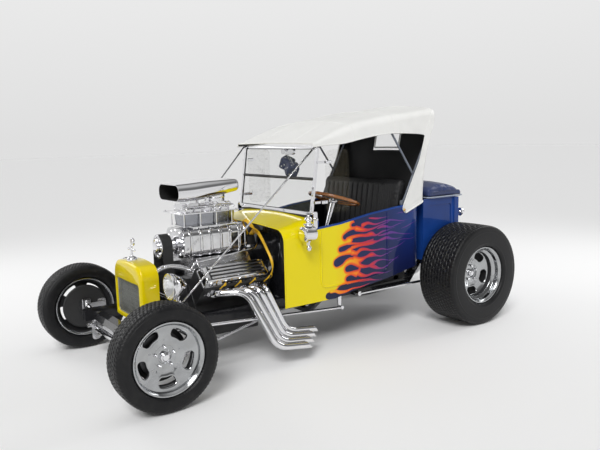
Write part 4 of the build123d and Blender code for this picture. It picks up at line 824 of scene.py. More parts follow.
def buildTyre(end, side):
    wheel = wheels[end]
    half, radius, rim = wheel["tyreW"] / 2 - .0003, wheel["tyreR"] - .0003, wheel["rimR"]
    bead = wheel["rimW"] / 2 - .0125
    curve = smoothPath([(bead, rim - .0135), (bead + .001, rim + .003), (half - .009, rim + .011),
        (half - .002, rim + .028), (half, (rim + radius) / 2), (half - .003, radius - .027),
        (half - .011, radius - .01), (half - .024, radius - .0032), (half * .5, radius - .0008), (0, radius)], 24)
    curve = np.vstack([curve, curve[-2::-1] * [-1, 1]])
    run = np.concatenate([[0], np.cumsum(np.linalg.norm(np.diff(curve, axis=0), axis=1))])
    # closer rows where the tread's grooves are
    tread = np.abs(curve[:, 0]) < half - .014
    weight = np.concatenate([[0], np.cumsum(np.diff(run) * np.where(tread[1:], 3.4, 1.0))])
    want = np.linspace(0, weight[-1], wheel["rows"])
    profile = np.stack([np.interp(want, weight, curve[:, k]) for k in (0, 1)], -1)
    steps = wheel["steps"]

    def cut(across, turn):
        # zigzag grooves round the tread, and slots across it that step from rib to rib
        depth = np.zeros(np.broadcast(across, turn).shape)
        for k, groove in enumerate(wheel["grooves"]):
            middle = groove + wheel["zigzag"] * (2 / pi) * np.arcsin(np.sin(turn * steps / 8 + k * pi))
            depth = np.maximum(depth, wheels["grooveDeep"] * np.exp(-((across - middle) / wheel["grooveW"]) ** 6))
        rib = np.searchsorted(wheel["grooves"], across)
        slots = ((np.arange(steps)[None] + rib * 2) % 4 == 0) & (np.abs(across) < half - .01)
        return np.maximum(depth, wheels["sipeDeep"] * slots)

    shape = Shape()
    loop = np.vstack([profile, [(-bead + .004, rim - .0135), (bead - .004, rim - .0135)]])
    turned(shape, loop, wheel, side, steps, closed=True, ripple=cut)
    fields = {"wall": np.repeat((loop[:, 1] - rim) / (radius - rim), steps), "turn": np.tile(circle(steps), len(loop))}
    name, title = wheelNames(end, side)
    makePiece("tyre" + title, shape, rubber, "tyre_" + name, "wheel_" + name, sharp=45, fields=fields)


def buildRim(end, side):
    wheel = wheels[end]
    shape = Shape()
    edge, rim = wheel["rimW"] / 2, wheel["rimR"]
    seat, well = rim - .014, rim - .038
    # the barrel's section, out along its outside and back along its inside
    barrel = [(edge, rim), (edge - .01, rim), (edge - .012, seat), (edge - .042, seat), (edge - .058, well),
        (.058 - edge, well), (.042 - edge, seat), (.012 - edge, seat), (.01 - edge, rim), (-edge, rim),
        (-edge, rim - .008), (.016 - edge, seat - .008), (.045 - edge, seat - .008), (.06 - edge, well - .008),
        (edge - .06, well - .008), (edge - .045, seat - .008), (edge - .016, seat - .008), (edge, rim - .008)]
    loop = roundedLoop(barrel, .0038, 4)
    # painted shade: the barrel's inside, behind the disc, takes the dark metal
    shadeBehindDisc = (loop[:, 0] < edge - wheel["dish"] + .01) & (loop[:, 0] > .013 - edge)
    turned(shape, loop, wheel, side, 112, closed=True, slot=np.where(shadeBehindDisc, 3, 0))
    # the disc: for each slot, rings from the slot's edge out to a fifth of the disc
    face = edge - wheel["dish"]
    rise = smoothPath([(.0, face), (.05, face), (.091, face), (.0935, face + .0005), (.0985, face + .0045),
        (.118, face + .011), (.15, face + .02), (wheel["spokeR"] + .004, face + .036)], 8)
    t = circle(80)
    square = np.stack([np.cos(t), np.sin(t)]) / np.maximum(np.abs(np.cos(t)), np.abs(np.sin(t)))
    low, high = .06, wheel["spokeR"] + .002
    outer = np.stack([square[0] * pi / wheels["slots"], (low + high) / 2 + square[1] * (high - low) / 2])

    def slotEdge(grow):
        # the slot's rounded outline in angle and radius, met by the same rays
        halfW, halfH = wheels["slotWide"] / 2 + grow, wheels["slotHigh"] / 2 + grow
        dense = roundedOutline(2 * halfW, 2 * halfH, wheels["slotR"] + grow, 24)
        ray = np.unwrap(np.arctan2(dense[:, 1] / halfH, dense[:, 0] / halfW))
        ray, dense = np.concatenate([ray - 2 * pi, ray, ray + 2 * pi]), np.tile(dense, (3, 1))
        want = np.arctan2(square[1], square[0]) % (2 * pi)
        u, v = np.interp(want, ray, dense[:, 0]), np.interp(want, ray, dense[:, 1])
        return np.stack([-u / wheels["slotAt"], wheels["slotAt"] + v]) * [[-1], [1]]

    # from the disc's back, through the slot's rolled edge, out over its face; each is the slot's growth and a depth
    thick = wheels["discBack"]
    rolled = [(.01, thick), (0, thick), (0, .0065), (.0007, .003), (.0022, .0009), (.0045, 0), (.008, -.0006),
        (.0115, 0)]
    shares = (.3, .65, 1.0)
    rows = [outer] + [slotEdge(grow) for grow, back in rolled]
    rows = np.array(rows + [rows[-1] * (1 - share) + outer * share for share in shares])
    depth = np.array([thick] + [back for grow, back in rolled] + [0] * len(shares))[:, None]
    centre = wheel["lip"] - edge
    for first in circle(wheels["slots"]) + radians(wheels["slotStart"]):
        angle = rows[:, 0] + first
        radius = rows[:, 1]
        x = side * (centre + np.interp(radius, rise[:, 0], rise[:, 1]) - depth)
        # painted shade: the disc's back and the slots' rolled edges take the dark metal, so the slots read dark
        shape.grid(wheelPoint(wheel, x, radius, angle), loopCols=True, flip=side < 0,
            slot=np.where(np.arange(len(rows) - 1) < 4, 3, 0))
    # hub face, cap and brake
    back = face - wheel["brakeBack"]
    turned(shape, mm(-13, 0, -13, 66, -1, 66, .5, 64, .5, 40, -2, 38, -2, 0) + [face, 0], wheel, side, 64)
    cap = smoothPath(mm(-2, 30, 10, 30, 16, 28.5, 20, 22, 24, 19.5, 27, 12, 28, 0) + [face, 0], 4)
    turned(shape, np.vstack([[(face - .002, 0)], cap]), wheel, side, 48, slot=1)
    brake = [(face - .004, .01505), (back, .01505), (back, .128), (back + .001, .13), (back + .011, .13),
        (back + .012, .128), (back + .012, .074), (back + .02, .07), (back + .024, .044), (face - .013, .044)]
    if end == "rear":
        brake = [(face - .004, .01505), (back, .01505), (back, .126), (back + .004, .13), (face - .028, .13),
            (face - .023, .127), (face - .021, .12), (face - .021, .044), (face - .013, .044)]
    turned(shape, brake, wheel, side, 72, slot=2, closed=True)
    # five chrome lug nuts: a hexagon under a dome
    nut = mm(-2, 0, -2, 10.5, 10, 10.5, 12, 9.5, 12, 8.5, 18, 7.5, 21.5, 4.5, 22.5, 0)
    for angle in circle(wheels["lugs"]) + radians(18):
        revolve(shape, nut, wheelPoint(wheel, side * (centre + face), wheels["lugCircle"], angle), (side, 0, 0), 12,
            slot=1)
    name, title = wheelNames(end, side)
    makePiece("rim" + title, shape, [rimAlloy, chrome, brakeIron, barrelPaintedShade], "rim_" + name,
        "wheel_" + name, sharp=30)


for wheelEnd in ("front", "rear"):
    for wheelSide in (1, -1):
        buildTyre(wheelEnd, wheelSide)
        buildRim(wheelEnd, wheelSide)
print("wheels made")


def buildShields():
    # a dark plate behind each front brake disc, on the knuckle
    wheel = wheels["front"]
    back = wheel["rimW"] / 2 - wheel["dish"] - wheel["brakeBack"] - .007
    for side, name in ((1, "left"), (-1, "right")):
        shape = Shape()
        turned(shape, [(back, .05), (back, .148), (back + .006, .156), (back + .0045, .1575), (back - .0025, .15),
            (back - .0025, .05)], wheel, side, 72, closed=True)
        makePiece("brakeShield" + name.title(), shape, darkSatin, body="knuckle_" + name)


buildShields()


# soft top
top = {
    "half": .5045, "cornerR": .066,
    # front edge to rear edge of the cloth: its lower edge at the side, the middle line, the corner's radius and the
    # middle's rise over the corner; each is station, height, station, height, radius, rise
    "ribs": [(1.232, 1.424, 1.238, 1.45, .02, .012), (1.32, 1.43, 1.32, 1.494, .04, .02),
             (1.5, 1.442, 1.48, 1.571, .055, .028), (1.65, 1.468, 1.62, 1.617, .062, .032),
             (1.8, 1.49, 1.78, 1.648, .062, .033), (1.96, 1.503, 1.96, 1.674, .06, .034),
             (2.13, 1.5, 2.16, 1.698, .06, .036), (2.255, 1.492, 2.33, 1.716, .062, .038),
             (2.29, 1.48, 2.41, 1.72, .064, .036), (2.286, 1.45, 2.442, 1.69, .064, .032),
             (2.268, 1.39, 2.428, 1.6, .064, .026), (2.236, 1.295, 2.384, 1.47, .066, .022),
             (2.184, 1.195, 2.352, 1.312, .066, .02), (2.131, 1.095, 2.335, 1.2, .066, .018),
             (2.09, 1.012, 2.325, 1.096, .066, .016), (2.062, .95, 2.319, 1.022, .066, .014),
             (2.066, .92, 2.318, 1.0, .066, .012), (2.093, .9045, 2.317, .988, .066, .01)],
    "bows": (1.238, 1.56, 1.96, 2.4), "sag": .009, "folds": 55,
    "window": (.15, 1.375, 1.505), "bindR": .0045,
}


def topRibs():
    # rows of the cloth: up the left side from its lower edge, round the corner, across the middle, and down again
    ribs = smoothPath(top["ribs"], 8)
    sideN, cornerN, acrossN = 16, 9, 44
    share = np.linspace(0, 1, sideN)[None]
    turn = np.linspace(0, pi / 2, cornerN)[None, 1:]
    over = np.linspace(1, 0, acrossN)[None, 1:]
    e0, e1, c0, c1, r, rise = (ribs[:, k:k + 1] for k in range(6))
    reach = np.hypot(c0 - e0, c1 - e1)
    r = np.minimum(r, .45 * reach)
    rise = np.minimum(rise, .2 * reach)
    low = reach - rise - r
    half = top["half"]
    x = np.concatenate([np.broadcast_to(half, (len(ribs), sideN)), half - r + r * np.cos(turn), (half - r) * over], 1)
    v = np.concatenate([low * share, low + r * np.sin(turn), reach - rise * over ** 2], 1)
    station = e0 + (c0 - e0) * v / reach
    height = e1 + (c1 - e1) * v / reach
    # the cloth hangs a little between the bows, and folds gather toward the quarters
    crossing = np.clip(v / reach, 0, 1)
    sag = sum(np.sin(np.clip((c0 - a) / (b - a), 0, 1) * pi).clip(0) ** .8
        for a, b in zip(top["bows"][:-1], top["bows"][1:]))
    inward = (1 - (x / half) ** 4) * crossing ** 2
    height = height - top["sag"] * sag * inward
    fold = np.sin(np.linspace(0, top["folds"], len(ribs))[:, None] + crossing * 4)
    down = (c1 < 1.7) & (c0 > 2.3)
    gather = np.where(down, .0016, .0005) * fold * np.sin(crossing * pi) ** 1.5
    x = x - np.abs(gather) * (crossing < .8)
    station = station + gather * (crossing > .6)
    left = np.stack([x, at(station), height], -1)
    return np.concatenate([left, left[:, -2::-1] * [-1, 1, 1]], 1)


def buildTop():
    cloth = topRibs()
    shape = Shape()
    shape.grid(cloth)
    centers = (cloth[1:, 1:] + cloth[:-1, :-1]) / 2
    half, low, high = top["window"]
    pane = (np.abs(centers[..., 0]) < half) & (centers[..., 2] > low) & (centers[..., 2] < high) & (centers[...,
        1] > at(2.25))
    faces = shape.faces[0].reshape(*pane.shape, 4)
    shape.faces[0], shape.slots[0] = faces[~pane], np.zeros((~pane).sum(), int)
    made = makePiece("softTop", shape, [whiteVinyl, blackCloth], "soft_top", sharp=60, recalc=False)
    thick = made.modifiers.new("thickness", "SOLIDIFY")
    thick.thickness, thick.offset, thick.material_offset = .0022, -1, 1
    # seams over the bows, binding round the edge and the window's frame
    trim = Shape()
    for edge, thick in ((cloth[:, 0], 1), (cloth[:, -1], 1), (cloth[0], 1.1), (cloth[-1], 1)):
        tube(trim, edge, top["bindR"] * thick, 8)
    centre = cloth[:, cloth.shape[1] // 2]
    for station in top["bows"][1:]:
        row = int(np.argmin(np.abs(centre[:, 1] - at(station)) + (centre[:, 2] < 1.55)))
        tube(trim, cloth[row], .0022, 6)
    for x in (.2, -.2):
        column = int(np.argmin(np.abs(cloth[40, :, 0] - x)))
        tube(trim, cloth[centre[:, 2] > 1.2][:, column], .0016, 6)
    rows = np.flatnonzero((centre[:, 2] > low) & (centre[:, 2] < high) & (centre[:, 1] > at(2.25)))
    columns = np.flatnonzero(np.abs(cloth[rows[0], :, 0]) < half)
    block = cloth[rows[0]:rows[-1] + 1, columns[0]:columns[-1] + 1]
    ring = np.concatenate([block[0], block[1:, -1], block[-1, -2::-1], block[-2::-1, 0]])
    tube(trim, ring, .007, 8)
    binding = makePiece("topBinding", trim, whiteVinyl, sharp=70)
    # a brass knob at each quarter's lower tip
    knobs = Shape()
    for side in (1, -1):
        revolve(knobs, mm(-4, 0, -4, 6, 3, 6, 5, 10.5, 10, 11.5, 13.5, 8, 14.5, 0),
            [side * (top["half"] + .001), at(2.064), .928], (side, 0, 0), 24)
    makePiece("topKnobs", knobs, brass)
    glass = Shape()
    glass.grid(cloth[rows[0] - 1:rows[-1] + 2, columns[0] - 1:columns[-1] + 2] - [0, .001, 0])
    makePiece("topWindow", glass, clearGlass, recalc=False)


buildTop()
print("top made")


# radiator and lamps
shell = {"half": .232, "low": .345, "top": .725, "front": .072, "rear": .2, "wall": .005, "edgeR": .022,
    "grilleHalf": .196, "grilleTop": .598, "grilleLow": .365, "grilleR": .024, "crown": .007, "centre": (0, .5),
    "bars": 37, "crossBars": 8, "barR": .0016}


def byAngle(outline, centre, angles):
    # the outline's points in given directions from a centre
    away = outline - centre
    turn = np.unwrap(np.arctan2(away[:, 1], away[:, 0]))
    if turn[-1] < turn[0]:
        turn, outline = turn[::-1], outline[::-1]
    turn = np.concatenate([turn - 2 * pi, turn, turn + 2 * pi])
    outline = np.tile(outline, (3, 1))
    return np.stack([np.interp(angles, turn, outline[:, k]) for k in (0, 1)], -1)


def arcThrough(a, b, c, steps):
    # a circle's arc through three points in the plane
    a, b, c = (np.asarray(p, float) for p in (a, b, c))
    d = 2 * np.linalg.det(np.stack([b - a, c - a]))
    q, w = (b - a) @ (b - a), (c - a) @ (c - a)
    middle = a + np.array([(c - a)[1] * q - (b - a)[1] * w, (b - a)[0] * w - (c - a)[0] * q]) / d
    turn = np.unwrap([np.arctan2(*(p - middle)[::-1]) for p in (a, b, c)])
    t = np.interp(np.linspace(0, 1, steps), [0, .5, 1], turn)
    return middle + np.linalg.norm(a - middle) * np.stack([np.cos(t), np.sin(t)], -1)


def shellOutline(inset):
    half, high, low = shell["half"] - inset, shell["top"] - inset, shell["low"]
    corner = arcThrough((half, high - .11), (half - .024, high - .036), (half - .084, high - .01), 12)
    over = arcThrough((half - .084, high - .01), (0, high), (.084 - half, high - .01), 24)
    up = np.stack([np.full(20, half), np.linspace(low, high - .11, 20, endpoint=False)], -1)
    across = np.stack([np.linspace(-half, half, 24, endpoint=False), np.full(24, low)], -1)
    return np.concatenate([up, corner[:-1], over[:-1], (corner * [-1, 1])[::-1][:-1], (up * [-1, 1])[::-1], across])


def buildShell():
    shape = Shape()
    height = shell["grilleTop"] - shell["grilleLow"]
    rows = []

    def row(outline, station):
        flat = byAngle(outline, shell["centre"], circle(280))
        bulge = shell["crown"] * (1 - np.clip(np.abs(flat[:, 0]) / shell["half"], 0, 1) ** 2)
        rows.append(np.stack([flat[:, 0], at(station - bulge * (station < .1)), flat[:, 1]], -1))

    # in from behind the grille, round the opening's edge, over the shell's edge and back inside it
    lift = shell["front"] + shell["crown"]
    for grow, round, back in ((0, 0, .03), (0, 0, .006), (.003, 0, .0015), (.01, .004, 0)):
        row(roundedOutline(2 * shell["grilleHalf"] + grow, height + grow, shell["grilleR"] + round, 12,
            (0, shell["grilleLow"] + height / 2)), lift + back)
    for turn in np.linspace(0, pi / 2, 8):
        inset = shell["edgeR"] * (1 - sin(turn))
        row(shellOutline(min(inset, .0199) if inset else 0), lift + shell["edgeR"] * (1 - cos(turn)))
    for station in (.11, .15, .196, .2):
        row(shellOutline(0), station)
    for station in (.2, .15, .11):
        row(shellOutline(shell["wall"]), station)
    shape.grid(np.array(rows), loopRows=True, loopCols=True)
    makePiece("radiatorShell", shape, yellowPaint, "radiator_shell", sharp=40)


def buildGrille():
    shape = Shape()
    middle = (shell["grilleTop"] + shell["grilleLow"]) / 2
    half, reach = shell["grilleHalf"] - .0005, (shell["grilleTop"] - shell["grilleLow"]) / 2
    depth = at(shell["front"] + .02)
    for x in np.linspace(-half + .009, half - .009, shell["bars"]):
        tube(shape, [(x, depth, middle - reach + .004), (x, depth, middle + reach - .004)], shell["barR"], 6)
    for z in np.linspace(middle - reach + .014, middle + reach - .014, shell["crossBars"]):
        tube(shape, [(-half + .003, depth + .004, z), (half - .003, depth + .004, z)], shell["barR"], 6)
    ring = upright(roundedOutline(2 * half - .006, 2 * reach - .006, .021, 10, (0, middle)), depth)
    tube(shape, np.vstack([ring, ring[:1]]), .0045, 8)
    makePiece("grilleBars", shape, grilleMetal, "grille")
    dressNode("radiator_core", darkInside)


def buildCap():
    shape = Shape()
    top = shell["top"] + .0003
    place = [0, at(.122), 0]
    neck = smoothPath(mm(0, 34, 10, 34, 17, 31, 24, 22, 30, 10, 40, 7.5, 70, 6.5, 94, 8, 98, 6) + [top, 0], 4)
    revolve(shape, np.vstack([[(top, 0)], neck, [(top + .098, 0)]]), place, (0, 0, 1), 40)
    gauge = [place[0], at(.131), top + .12]
    ring = mm(-10, 0, -9, 20, -6, 25.5, 0, 27, 6, 25.5, 8.5, 22.5, 8.5, 21)
    revolve(shape, ring, gauge, (0, -1, 0), 40)
    revolve(shape, mm(8.5, 21, 6.8, 19.5, 6.8, 0), gauge, (0, -1, 0), 40, slot=1)
    # the wing bar through the stem, with ball ends
    for side in (1, -1):
        wing = smoothPath(mm(0, 8, 10, 5.5, 30, 4.5, 42, 5.5, 50, 7.8, 53.5, 5, 54, 0), 5)
        revolve(shape, wing, [0, place[1], top + .072], (side, 0, 0), 20)
    roundedBox(shape, (-.001, gauge[1] - .0095, gauge[2] - .003), (.001, gauge[1] - .0088, gauge[2] + .016), .0005,
        slot=2)
    makePiece("capAndGauge", shape, [chrome, whiteDial, redRubber], "radiator_cap")


headlamp = {"r": .084, "front": .205, "x": .362, "z": .6, "postX": .3, "barZ": .5, "barHalf": .38}


def buildHeadlamps():
    shape, glass = Shape(), Shape()
    r, y = headlamp["r"], at(headlamp["front"] + .055)
    for side in (1, -1):
        centre = [side * headlamp["x"], at(headlamp["front"]), headlamp["z"]]
        bowl = smoothPath([(.026, r - .004), (.034, r - .006), (.055, r - .016), (.08, r - .032), (.1, r - .05),
            (.114, r - .066), (.122, .008), (.125, 0)], 5)
        rim = [(.004, r - .009), (.0005, r - .006), (.001, r - .002), (.006, r), (.016, r), (.02, r - .002),
            (.022, r - .0045), (.026, r - .004)]
        revolve(shape, np.vstack([rim, bowl[1:]]), centre, (0, 1, 0), 72)
        bowlIn = smoothPath([(.004, r - .009), (.014, r - .018), (.034, r - .036), (.05, r - .06), (.054, 0)], 6)
        revolve(shape, bowlIn, centre, (0, 1, 0), 72, slot=1)
        revolve(shape, mm(52, 0, 52, 12, 30, 11, 24, 6, 22, 0), centre, (0, 1, 0), 24, slot=2)
        lens = smoothPath([(.005, r - .0088), (-.004, r - .016), (-.012, r - .036), (-.0155, r - .06), (-.0165, 0)], 6)
        revolve(glass, np.vstack([lens, [(.004, 0), (.005, r - .0088)]])[:-1], centre, (0, 1, 0), 72)
        revolve(shape, mm(484, 0, 484, 16, 490, 17, 496, 12, 512, 10, 532, 18, 533.5, 0), [side * headlamp["x"], y, 0],
            (0, 0, 1), 24)
        revolve(shape, mm(378, 0, 378, 16, 384, 16, 386, 9, 494, 9, 498, 13.5, 510, 13.5, 513, 0),
            [side * headlamp["postX"], y, 0], (0, 0, 1), 24)
        revolve(shape, mm(0, 11, 4, 13, 10, 13, 14, 8, 14.5, 0), [side * (headlamp["barHalf"] - .002), y,
            headlamp["barZ"]], (side, 0, 0), 20)
    tube(shape, [(x, y, headlamp["barZ"]) for x in (-headlamp["barHalf"], headlamp["barHalf"])], .011, 20)
    makePiece("headlampBuckets", shape, [chrome, reflector, whiteDial], "headlamps")
    makePiece("headlampGlass", glass, lensGlass, "headlamp_lenses")


cowlLamp = {"r": .05, "x": .562, "station": 1.13, "z": .852}


def buildCowlLamps():
    shape = Shape()
    r, y = cowlLamp["r"], at(cowlLamp["station"])
    for side in (1, -1):
        centre = [side * cowlLamp["x"], y, cowlLamp["z"]]
        drum = [(-.055, 0), (-.055, .03), (-.053, r - .008), (-.05, r - .004), (-.049, r), (-.04, r),
            (-.038, r - .003), (-.034, r - .004), (.03, r - .004), (.033, r - .002), (.04, r - .002), (.043, r - .006),
            (.045, .024), (.045, 0)]
        revolve(shape, drum[2:], centre, (0, 1, 0), 56)
        revolve(shape, drum[:3], centre, (0, 1, 0), 56, slot=1)
        # the foot with its ball below, and the chimney above
        foot = smoothPath(mm(-118, 0, -116, 9, -108, 16.5, -98, 19, -88, 16.5, -81, 10, -66, 8, -56, 12, -46, 20), 4)
        revolve(shape, foot, centre, (0, 0, 1), 32)
        chimney = smoothPath(mm(46, 24, 52, 31, 58, 34, 64, 34, 67, 30), 3)
        crown = smoothPath(mm(67, 18, 78, 18, 86, 21, 90, 26, 98, 27, 104, 24, 114, 16, 121, 9, 126, 6, 126, 0), 3)
        revolve(shape, np.vstack([chimney, crown]), centre, (0, 0, 1), 40)
        sideBox(shape, side, (.5003, y - .012, .767), (.56, y + .012, .797))
    makePiece("cowlLampShells", shape, [chrome, reflector], "cowl_lamps")


buildShell()
buildGrille()
buildCap()
buildHeadlamps()
buildCowlLamps()
print("front made")


# engine
bank = {"crankZ": .34, "tilt": pi / 4}
bankOut = np.array([sin(bank["tilt"]), 0, cos(bank["tilt"])])
bankOff = np.array([cos(bank["tilt"]), 0, -sin(bank["tilt"])])


def bankPoint(station, out, off):
    # a place on the left bank: out from the crank, and off the bank's middle towards the exhaust side
    return np.array([0, at(station), bank["crankZ"]]) + out * bankOut + off * bankOff


def shrunk(ring):
    return np.broadcast_to(ring.mean(0), ring.shape)


def ringStack(shape, rings, slot=0):
    # rings of points, each the same length, joined in turn with their ends closed
    rings = np.array(rings, float)
    return shape.grid(np.concatenate([[shrunk(rings[0])], rings, [shrunk(rings[-1])]]), loopCols=True, slot=slot)


def acrossRing(width, height, radius, station, middle, steps=10):
    # a rounded rectangle square to the car's length
    return upright(roundedOutline(width, height, radius, steps, (0, middle)), at(station))


scoop = {
    # station, width, height and middle of the scoop's sections from its mouth to its tail, and of its mouth's lip
    "sections": [(.398, .318, .113, 1.1445), (.5, .316, .118, 1.146), (.6, .308, .116, 1.153),
                 (.74, .284, .1, 1.164), (.85, .252, .084, 1.1725)],
    "lip": [(.3984, .3165, .1115, 1.1445), (.398, .312, .107, 1.1445), (.3984, .307, .102, 1.1445)],
    "wall": .0065, "insideRows": 26,
}


def buildScoop():
    shape = Shape()
    rows = smoothPath(scoop["sections"], 8)
    last = rows[-1]
    tail = [(last[0] + .022 * sin(a), last[1] - .06 * (1 - cos(a)), last[2] - .06 * (1 - cos(a)),
        last[3]) for a in np.linspace(.25, pi / 2, 7)]
    inside = rows[:scoop["insideRows"]] + [.001, -2 * scoop["wall"], -2 * scoop["wall"], 0]
    rings = [acrossRing(w, h, h * .44, s, m, 14) for s, w, h, m in np.vstack([inside[::-1], scoop["lip"][::-1], rows,
        tail])]
    rings[0] = shrunk(rings[0])
    rings.append(shrunk(rings[-1]))
    shape.grid(np.array(rings), loopCols=True, slot=[1] * len(inside) + [0] * (len(rings) - 1 - len(inside)))
    # neck rings over the carburettors
    for station in (.545, .745):
        revolve(shape, mm(1088, 0, 1088, 64, 1091, 67, 1100, 67, 1120, 64, 1120, 0), [0, at(station), 0], (0, 0, 1),
            56)
    makePiece("airScoop", shape, [chrome, darkInside], "air_scoop", sharp=45)


blower = {"low": .705, "high": .905, "front": .43, "rear": .9, "ribs": 6, "ribHalf": .0075, "plateBolts": 12}


def buildBlower():
    shape = Shape()
    low, high, front, rear = (blower[key] for key in ("low", "high", "front", "rear"))
    stations = np.linspace(front + .004, rear - .004, 236)
    # ribs round the case: 1 on a rib and 0 between, falling with the eighth power of the distance
    ribAt = np.linspace(front + .05, rear - .05, blower["ribs"])
    rib = 1 / (1 + (np.abs(stations[:, None] - ribAt).min(1) / blower["ribHalf"]) ** 8)
    ends = [acrossRing(.272, high - low - .008, .058, station, (low + high) / 2) for station in (front, rear)]
    ringStack(shape, ends[:1] + [acrossRing(.276 + .024 * k, high - low - .004 * (1 - k), .058 + .004 * k, station,
        (low + high) / 2) for station, k in zip(stations, rib)] + ends[1:])
    # end plates with their bolts, and the top opening's flange
    for station, toward in ((front, -1), (rear, 1)):
        ringStack(shape, [acrossRing(.288 - draw, .196 - draw, .064 - draw / 2, station - toward * back,
            .805) for draw, back in ((0, .01), (0, 0), (.004, .0005))])
        for angle in circle(blower["plateBolts"]):
            reach = .128 if abs(cos(angle)) < .8 else .12544  # a little further in at the plate's sides
            revolve(shape, mm(-2, 0, -2, 6.2, 3.2, 6.2, 4.5, 5, 4.5, 0), [reach * cos(angle), at(station),
                .805 + .084 * sin(angle)], (0, toward, 0), 6, slot=1)
    roundedBox(shape, (-.1, at(.52), .884), (.1, at(.85), .915), .004)
    makePiece("blowerCase", shape, [chromeCover, chrome], "blower_case", sharp=34)


drive = {
    "pulleys": ((.791, .074, .4297), (.34, .08, .3997)),  # height, radius and rear end of the upper and lower one
    "front": .3, "wide": .071, "teeth": 32, "toothDeep": .003, "beltFront": .303, "beltRear": .373,
    "beltTooth": .0022, "beltLines": 24,
}


def buildDrive():
    shape = Shape()
    front, rear = drive["front"], drive["front"] + drive["wide"]
    for height, radius, reach in drive["pulleys"]:
        centre = [0, at(0), height]
        revolve(shape, [(front, 0), (front, radius - .034), (front + .003, radius - .03),
            (front + .003, radius - .014), (front, radius - .01), (front, radius + .004),
            (front + .0015, radius + .006), (front + .0045, radius + .006), (front + .005, radius)], centre, (0, 1, 0),
            96)
        teeth = circle(6 * drive["teeth"])
        tips = radius - np.where(np.arange(len(teeth)) % 6 < 3, 0, drive["toothDeep"])
        ring = upright(np.stack([np.cos(teeth) * tips, np.sin(teeth) * tips], -1), 0)
        shape.grid(np.stack([ring + centre + [0, s, 0] for s in (front + .005, rear)]), loopCols=True)
        revolve(shape, [(rear, radius), (rear, radius + .006), (rear + .004, radius + .006),
            (rear + .005, radius + .004), (rear + .005, 0)], centre, (0, 1, 0), 96)
        # the nose: a domed cover and hub bolts
        dome = smoothPath(mm(301, 40, 290, 40, 284, 36, 281, 24, 280.5, 0), 5)
        revolve(shape, dome, centre, (0, 1, 0), 48, slot=1)
        for angle in circle(6):
            revolve(shape, mm(302, 0, 302, 5.5, 296.5, 5.5, 295.5, 4.5, 295.5, 0),
                [.05 * cos(angle), centre[1], height + .05 * sin(angle)], (0, 1, 0), 6, slot=1)
        revolve(shape, [(.372, .046), (reach - .02, .046), (reach - .012, .062), (reach, .062), (reach, 0)], centre,
            (0, 1, 0), 48)
    makePiece("blowerDrive", shape, [alloy, chrome], "blower_drive", sharp=34)
    # the belt: round both pulleys with straight runs between, toothed inside, with fine lines along its back
    (high, up), (low, down) = ((height, radius + .0003) for height, radius, _ in drive["pulleys"])
    lean = (down - up) / (high - low)
    upper, lower = np.linspace(lean, pi - lean, 70), np.linspace(pi - lean, 2 * pi + lean, 74)
    turn = np.concatenate([upper, np.full(80, upper[-1]), lower, np.full(80, lower[-1])])
    run = np.linspace(0, 1, 82)[1:-1]
    share = np.concatenate([np.zeros(70), run, np.ones(74), run[::-1]])
    outward = np.stack([np.cos(turn), np.sin(turn)], -1)
    middle = np.stack([np.zeros(len(share)), high + (low - high) * share], -1)
    tooth = np.where(np.arange(len(share)) % 4 < 2, 0, drive["beltTooth"])
    front, rear = drive["beltFront"], drive["beltRear"]
    back = [(s, .0078 - .0008 * (k % 2), 0) for k, s in enumerate(np.linspace(front + .001, rear - .001,
        drive["beltLines"]))]
    rows = [(front, 0, 1), (rear, 0, 1), (rear, .007, 0)] + back[::-1] + [(front, .007, 0)]
    belt = Shape()
    belt.grid(np.array([upright(middle + outward * (up + (down - up) * share + thick + tooth * inside)[:, None],
        at(s)) for s, thick, inside in rows]), loopRows=True, loopCols=True)
    makePiece("blowerBelt", belt, beltRubber, "blower_belt", sharp=40)


headers = {"ports": (.54, .655, .765, .88), "r": .021, "bore": .0178, "bend": .075}


def buildHeaders():
    shape = Shape()
    for number, port in enumerate(headers["ports"]):
        route = [bankPoint(port, .31, .092), bankPoint(port, .31, .11), (.35, at(port + .014), .5),
            (.446, at(.7 + .052 * number), .506), (.59 - .03 * number, at(.842 + .045 * number), .138 + .022 * number),
            (.618 - .038 * number, at(1.09 + .045 * number), .112 + .02 * number)]
        path = bentPath(np.array(route, float), headers["bend"], 12)
        ring = pathRings(path, 28)
        rows = list(path[:, None] + ring * headers["r"])[:-1]
        # the outlet is cut on a slant, its lower side further back, and open to its bore's end
        slant = -ring[-1, :, 2:] * .018 - .012
        for radius, back in ((headers["r"], 0), (headers["bore"], 0), (headers["bore"], .09), (0, .09)):
            rows.append(path[-1] + ring[-1] * radius + pathFrames(path)[0][-1] * (slant * (back == 0) - back))
        shape.grid(np.array(rows), loopCols=True, slot=[0] * (len(rows) - 3) + [1, 1])
    first, last = headers["ports"][0], headers["ports"][-1]
    # the flange plate, with a rounded end round each port
    along = np.linspace(first - .035, last + .035, 160)
    near = np.min(np.abs(along[:, None] - np.array(headers["ports"])[None]), axis=1)
    half = .017 + .012 * np.exp(-(near / .022) ** 4)
    flat = np.concatenate([np.stack([along, half], -1), np.stack([along, -half], -1)[::-1]])
    rings = [[bankPoint(s, .31 + v, off) for s, v in flat] for off in (.0884, .0955)]
    ringStack(shape, rings)
    for port in headers["ports"]:
        for shift in (-.022, .022):
            revolve(shape, mm(-1, 0, -1, 6, 6, 6, 7, 5, 7, 0), bankPoint(port + shift, .31 + .019 * np.sign(shift),
                .0955), bankOff, 6)
    shape.mirror()
    makePiece("headerPipes", shape, [chrome, darkInside], "headers", sharp=40)


